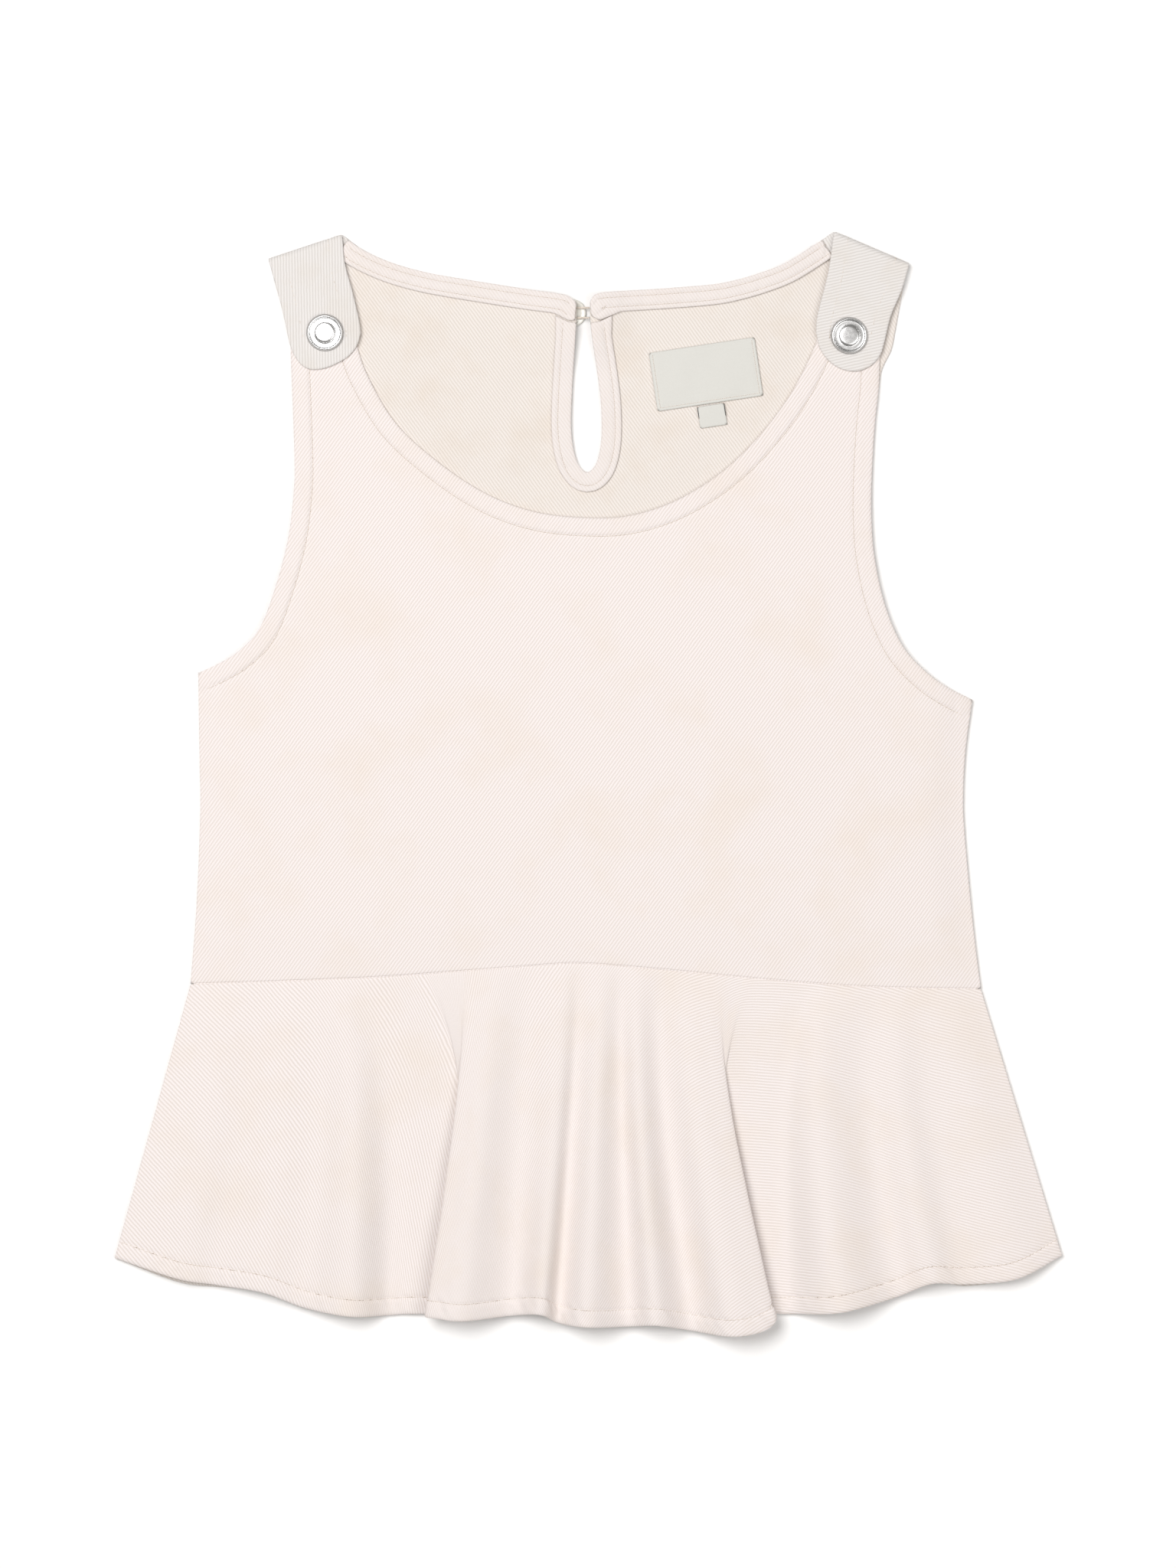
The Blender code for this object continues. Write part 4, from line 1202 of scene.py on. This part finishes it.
def strip_relief(edge, rows, seed, crown):
    """Relief of a narrow strip between its stitch rows."""
    def relief(xy):
        away, place = nearest(xy, edge)
        total = crown * np.ones(len(xy)) + 0.10 * waves(place + 0.3 * away, seed, 6.0)
        for row in rows:
            total -= (crown + 0.22) * bell(away, row, 0.7)
        return total
    return relief


def make_neck_strip(side):
    """The strip along one half of the back neck, and its two stitch rows."""
    form = STRAPS[f"strap_{side}"]
    if side == "left":
        edge = spline([*form["back_right"][:-1], *BACK_NECK_LEFT], 6)
        edge = edge[edge[:, 0] > NECK_STRIP_ENDS[side]]
        inner = shifted(edge, -NECK_STRIP_WIDTH)
        inner = inner[inner[:, 0] < NECK_STRIP_CLIPS[side]]
        outline = joined(inner, NECK_STRIP_TIPS[side], edge[::-1])
    else:
        edge = spline([*BACK_NECK_RIGHT, *form["back_left"][:-1][::-1]], 6)
        edge = edge[edge[:, 0] < NECK_STRIP_ENDS[side]]
        inner = shifted(edge, -NECK_STRIP_WIDTH)
        inner = inner[inner[:, 0] > NECK_STRIP_CLIPS[side]]
        outline = joined(edge[::-1], NECK_STRIP_TIPS[side], inner)
    relief = strip_relief(edge, NECK_STRIP_ROWS, 41, 0.28)
    made = panel(
        f"neck_strip_{side}_cloth", outline, TRIM_ROWS, TRIM_STEPS, neck_strip_middle, relief,
        STRIP, mirrored, TURNED,
    )

    def top(xy):
        return neck_strip_middle(xy) + STRIP / 2 + relief(xy) + STITCH_LIFT

    rows = []
    for distance in NECK_STRIP_ROWS:
        line = shifted(edge, -distance)
        end = NECK_ROW_ENDS[side]
        line = line[line[:, 0] < end] if side == "left" else line[line[:, 0] > end]
        rows.append(stitch_row(*on_surface(resampled(line, 0.8, False), top)))
    sewing = stitching(f"neck_strip_{side}_stitching", rows, THREAD_LOOK)
    return made, sewing


def make_keyhole_facing():
    """A band round the keyhole, up to the strips on both sides, and its stitch row."""
    edge = spline(KEYHOLE, 6)
    edge = edge[edge[:, 1] < FACING_INNER_TOP]
    outer = shifted(edge, -FACING_WIDTH)
    outer = np.vstack([FACING_OUTER_TOPS[0], outer[outer[:, 1] < FACING_OUTER_TOP], FACING_OUTER_TOPS[1]])
    relief = strip_relief(edge, (FACING_ROW,), 45, 0.22)
    made = panel(
        "keyhole_facing_cloth", joined(edge, outer[::-1]), TRIM_ROWS, TRIM_STEPS, on_back_middle,
        relief, STRIP, mirrored, TURNED,
    )

    def top(xy):
        return on_back_middle(xy) + STRIP / 2 + relief(xy) + STITCH_LIFT

    line = resampled(shifted(edge, -FACING_ROW), 0.8, False)
    sewing = stitching("keyhole_stitching", [stitch_row(*on_surface(line, top))], THREAD_LOOK)
    return made, sewing


# Label

def plate_points(form, points):
    """Places on a plate from its own middle and sides."""
    return rotated(points, form["angle"]) + form["middle"]


def plate_outline(form):
    """A rectangle with its corners cut off a little."""
    (width, height), cut = form["size"], form["corner"]
    corners = []
    for sx, sy in ((1, -1), (1, 1), (-1, 1), (-1, -1)):
        first = (sx * (width / 2 - cut), sy * height / 2)
        second = (sx * width / 2, sy * (height / 2 - cut))
        corners += [first, second] if sx * sy < 0 else [second, first]
    return plate_points(form, corners)


def make_label():
    def label_relief(xy):
        away, _ = nearest(xy, closed(plate_outline(LABEL)))
        return 0.08 * swell(xy, 51, 14.0) - 0.18 * bell(away, 1.6, 0.6) + 0.1

    def own_cut(form):
        return lambda xy: rotated(xy, -form["angle"])

    made = panel(
        "label_cloth", plate_outline(LABEL), [0.1, 0.3, 0.6, 1.1, 1.6, 2.1, 2.8], (1.0, 1.3), on_back_middle,
        label_relief, STRIP, own_cut(LABEL), LABEL_LOOK,
    )
    tab = panel(
        "size_tab_cloth", plate_outline(TAB), [0.1, 0.3, 0.6, 1.1], (0.8, 0.9), on_back_middle, plain,
        STRIP, own_cut(TAB), LABEL_LOOK,
    )

    def top(xy):
        return on_back_middle(xy) + STRIP / 2 + label_relief(xy) + 0.12

    half_w, half_h = LABEL["size"][0] / 2 - 1.5, LABEL["size"][1] / 2 - 1.4
    corners = [(-half_w, half_h), (-half_w, -half_h), (half_w, -half_h), (half_w, half_h)]
    rows = []
    for (x0, y0), (x1, y1) in ((corners[0], corners[1]), (corners[1], corners[2]), (corners[2], corners[3])):
        line = plate_points(LABEL, np.column_stack([np.linspace(x0, x1, 41), np.linspace(y0, y1, 41)]))
        rows.append(stitch_row(*on_surface(line, top), pitch=1.9, radius=0.16))
    sewing = stitching("label_stitching", rows, THREAD_LOOK)

    def tab_top(xy):
        return on_back_middle(xy) + STRIP / 2 + 0.02

    half = TAB["size"][0] / 2
    lines = []
    for x, low, high in ((-half + 0.15, -0.5, 5.0), (half - 0.15, -1.0, 5.0)):
        line = plate_points(TAB, np.column_stack([np.full(13, x), np.linspace(low, high, 13)]))
        lines.append(stitch_row(*on_surface(line, tab_top), pitch=high - low, radius=0.2, length=1.0))
    edging = stitching("size_tab_edging", lines, DARK_THREAD)
    return made, tab, sewing, edging


# Turned pieces and the cord

def turned(name, place, seat, profile, sides, look, lean=(0.0, 0.0)):
    """A turned piece: a smooth profile that ends on the axis, round a vertical axis at place."""
    profile = spline(profile, 4)
    profile[:, 0] = np.maximum(profile[:, 0], 0.0)
    inner = profile[1:-1]
    turns = 2 * math.pi * np.arange(sides) / sides
    rings = np.stack([
        np.column_stack([r * np.cos(turns), r * np.sin(turns), np.full(sides, z)]) for r, z in inner
    ])
    points = np.vstack([rings.reshape(-1, 3), [[0, 0, profile[0][1]], [0, 0, profile[-1][1]]]])
    faces = []
    for i in range(len(inner) - 1):
        for k in range(sides):
            a, b = i * sides + k, i * sides + (k + 1) % sides
            faces += [(a, a + sides, b + sides), (a, b + sides, b)]
    top, bottom = len(points) - 2, len(points) - 1
    last = (len(inner) - 1) * sides
    for k in range(sides):
        faces.append((top, k, (k + 1) % sides))
        faces.append((bottom, last + (k + 1) % sides, last + k))
    tip_x, tip_y = (math.radians(v) for v in lean)
    points[:, 2] += points[:, 0] * math.tan(tip_y) * -1 + points[:, 1] * math.tan(tip_x)
    points += [place[0], place[1], seat]
    return mesh_object(name, points, faces, look)


def make_loop():
    """A cord of three twisted plies, from the keyhole's edge, round the button's neck and back."""
    cx, cy = BUTTON_PLACE
    out = [(x, cy + LOOP_BEND, z) for x, z in LOOP_ROUTE]
    turn = [
        (cx + LOOP_BEND * math.cos(math.radians(d)), cy + LOOP_BEND * math.sin(math.radians(d)), LOOP_HEIGHT)
        for d in range(90, 271, 30)
    ]
    home_run = [(x, cy - LOOP_BEND, z) for x, z in LOOP_ROUTE[::-1]]
    route = resampled(spline([*out, *turn, *home_run], 6), 0.22, False)
    at = lengths(route)
    run = np.gradient(route, axis=0)
    run /= np.linalg.norm(run, axis=1)[:, None]
    side = np.cross(run, [0.0, 0.0, 1.0])
    side /= np.linalg.norm(side, axis=1)[:, None]
    up = np.cross(side, run)
    points, faces = [], []
    for ply in range(3):
        turn = 2 * math.pi * (at / PLY_TURN + ply / 3)
        centre = route + PLY * (side * np.cos(turn)[:, None] + up * np.sin(turn)[:, None])
        ring, own = tube(centre, side, up, PLY)
        faces.append(own + sum(len(p) for p in points))
        points.append(ring)
    return mesh_object("button_loop_cord", np.vstack(points), np.vstack(faces), CORD_LOOK)


# All the pieces

front_cloth, back_cloth = make_bodice()
front_stitches = make_front_stitching()
finish_piece(front_cloth, "twill", "front_bodice")
finish_piece(back_cloth, "twill_inside", "back_bodice")
finish_piece(front_stitches, "twill")
waist_fold = make_waist_fold()
finish_piece(waist_fold, "twill")

for strap_name in STRAPS:
    cloth, sewing = make_strap(strap_name)
    finish_piece(cloth, "twill", strap_name)
    finish_piece(sewing, "twill")

seam_height = float(front_middle(np.array([[0.0, WAIST[5][1]]]))[0]) - SEAM_DROP
front_skirt, front_hem = make_peplum(
    "front_peplum_cloth", FRONT_FOLDS, FRONT_MID, seam_height, 8, TWILL, 61, True,
)
back_skirt, back_hem = make_peplum(
    "back_peplum_cloth", BACK_FOLDS, BACK_MID, BACK_MID, 6, INSIDE, 71, False,
)
finish_piece(front_skirt, "twill", "front_peplum")
finish_piece(front_hem, "twill")
finish_piece(back_skirt, "twill_inside", "back_peplum")
finish_piece(back_hem, "twill_inside")

for strip_side in ("left", "right"):
    cloth, sewing = make_neck_strip(strip_side)
    finish_piece(cloth, "twill_inside", f"neck_strip_{strip_side}")
    finish_piece(sewing, "twill_inside")

facing, facing_sewing = make_keyhole_facing()
finish_piece(facing, "twill_inside", "keyhole_facing")
finish_piece(facing_sewing, "twill_inside")

label, tab, label_sewing, tab_edging = make_label()
finish_piece(label, "label_cloth", "label")
finish_piece(tab, "label_cloth", "size_tab")
finish_piece(label_sewing, "label_cloth")
finish_piece(tab_edging, "label_cloth")

for snap_name, snap in SNAPS.items():
    seat = float(strap_middle(np.array([snap["place"]]))[0]) + STRAP / 2 + GAP
    cap = turned(f"{snap_name}_metal", snap["place"], seat, SNAP_PROFILE, 96, STEEL, snap["lean"])
    finish_piece(cap, "steel", snap_name)

button = turned("back_button_resin", BUTTON_PLACE, 0.0, BUTTON_PROFILE, 64, BUTTON_LOOK)
finish_piece(button, "button_resin", "back_button")
loop = make_loop()
finish_piece(loop, "cord_cloth", "button_loop")


# Floor, light and camera

def make_floor():
    look, tree, shader = new_look("pale_floor", 0.85)
    place = tree.nodes.new("ShaderNodeTexCoord").outputs["Object"]
    share = noise(tree, place, 3.0, 2.0)
    tree.links.new(mixed(tree, share, (0.93, 0.93, 0.93), (0.95, 0.95, 0.95)), shader.inputs["Base Color"])
    shader.inputs["Specular IOR Level"].default_value = 0.1
    mesh = bpy.data.meshes.new("floor")
    half = 6.0
    corners = [(-half, -half, 0), (half, -half, 0), (half, half, 0), (-half, half, 0)]
    mesh.from_pydata(corners, [], [(0, 1, 2, 3)])
    mesh.materials.append(look)
    made = bpy.data.objects.new("floor", mesh)
    made.location.z = -0.0003
    bpy.context.scene.collection.objects.link(made)


def area_light(name, place, size, power, colour):
    data = bpy.data.lights.new(name, "AREA")
    data.shape = "DISK"
    data.size = size
    data.energy = power
    data.color = colour
    made = bpy.data.objects.new(name, data)
    made.location = place
    way = -made.location.normalized()
    made.rotation_euler = way.to_track_quat("-Z", "Y").to_euler()
    bpy.context.scene.collection.objects.link(made)
    return made


CAMERA_HEIGHT = 5.0
CAMERA_OFFSET = -0.00018     # half a pixel of the photo
FRAME_HEIGHT = 0.7373
SENSOR = 36.0
LIGHTS = [
    # name   place              size  power  colour
    ("key", (-0.8, 0.6, 2.35), 1.6, 51.0, (1.0, 0.99, 0.985)),
    ("fill", (1.3, -0.5, 2.3), 2.0, 22.0, (1.0, 0.985, 0.97)),
]
WORLD_COLOUR = (1.0, 0.97, 0.93, 1.0)
WORLD_STRENGTH = 0.30

make_floor()
for light in LIGHTS:
    area_light(*light)

world = bpy.data.worlds.new("studio")
world.use_nodes = True
world.node_tree.nodes["Background"].inputs["Color"].default_value = WORLD_COLOUR
world.node_tree.nodes["Background"].inputs["Strength"].default_value = WORLD_STRENGTH
bpy.context.scene.world = world
bpy.context.scene.view_settings.view_transform = "Standard"

lens = bpy.data.cameras.new("camera")
lens.sensor_fit = "VERTICAL"
lens.sensor_width = SENSOR
lens.sensor_height = SENSOR
lens.lens = SENSOR * CAMERA_HEIGHT / FRAME_HEIGHT
camera = bpy.data.objects.new("camera", lens)
camera.location = (CAMERA_OFFSET, CAMERA_OFFSET, CAMERA_HEIGHT)
bpy.context.scene.collection.objects.link(camera)
bpy.context.scene.camera = camera
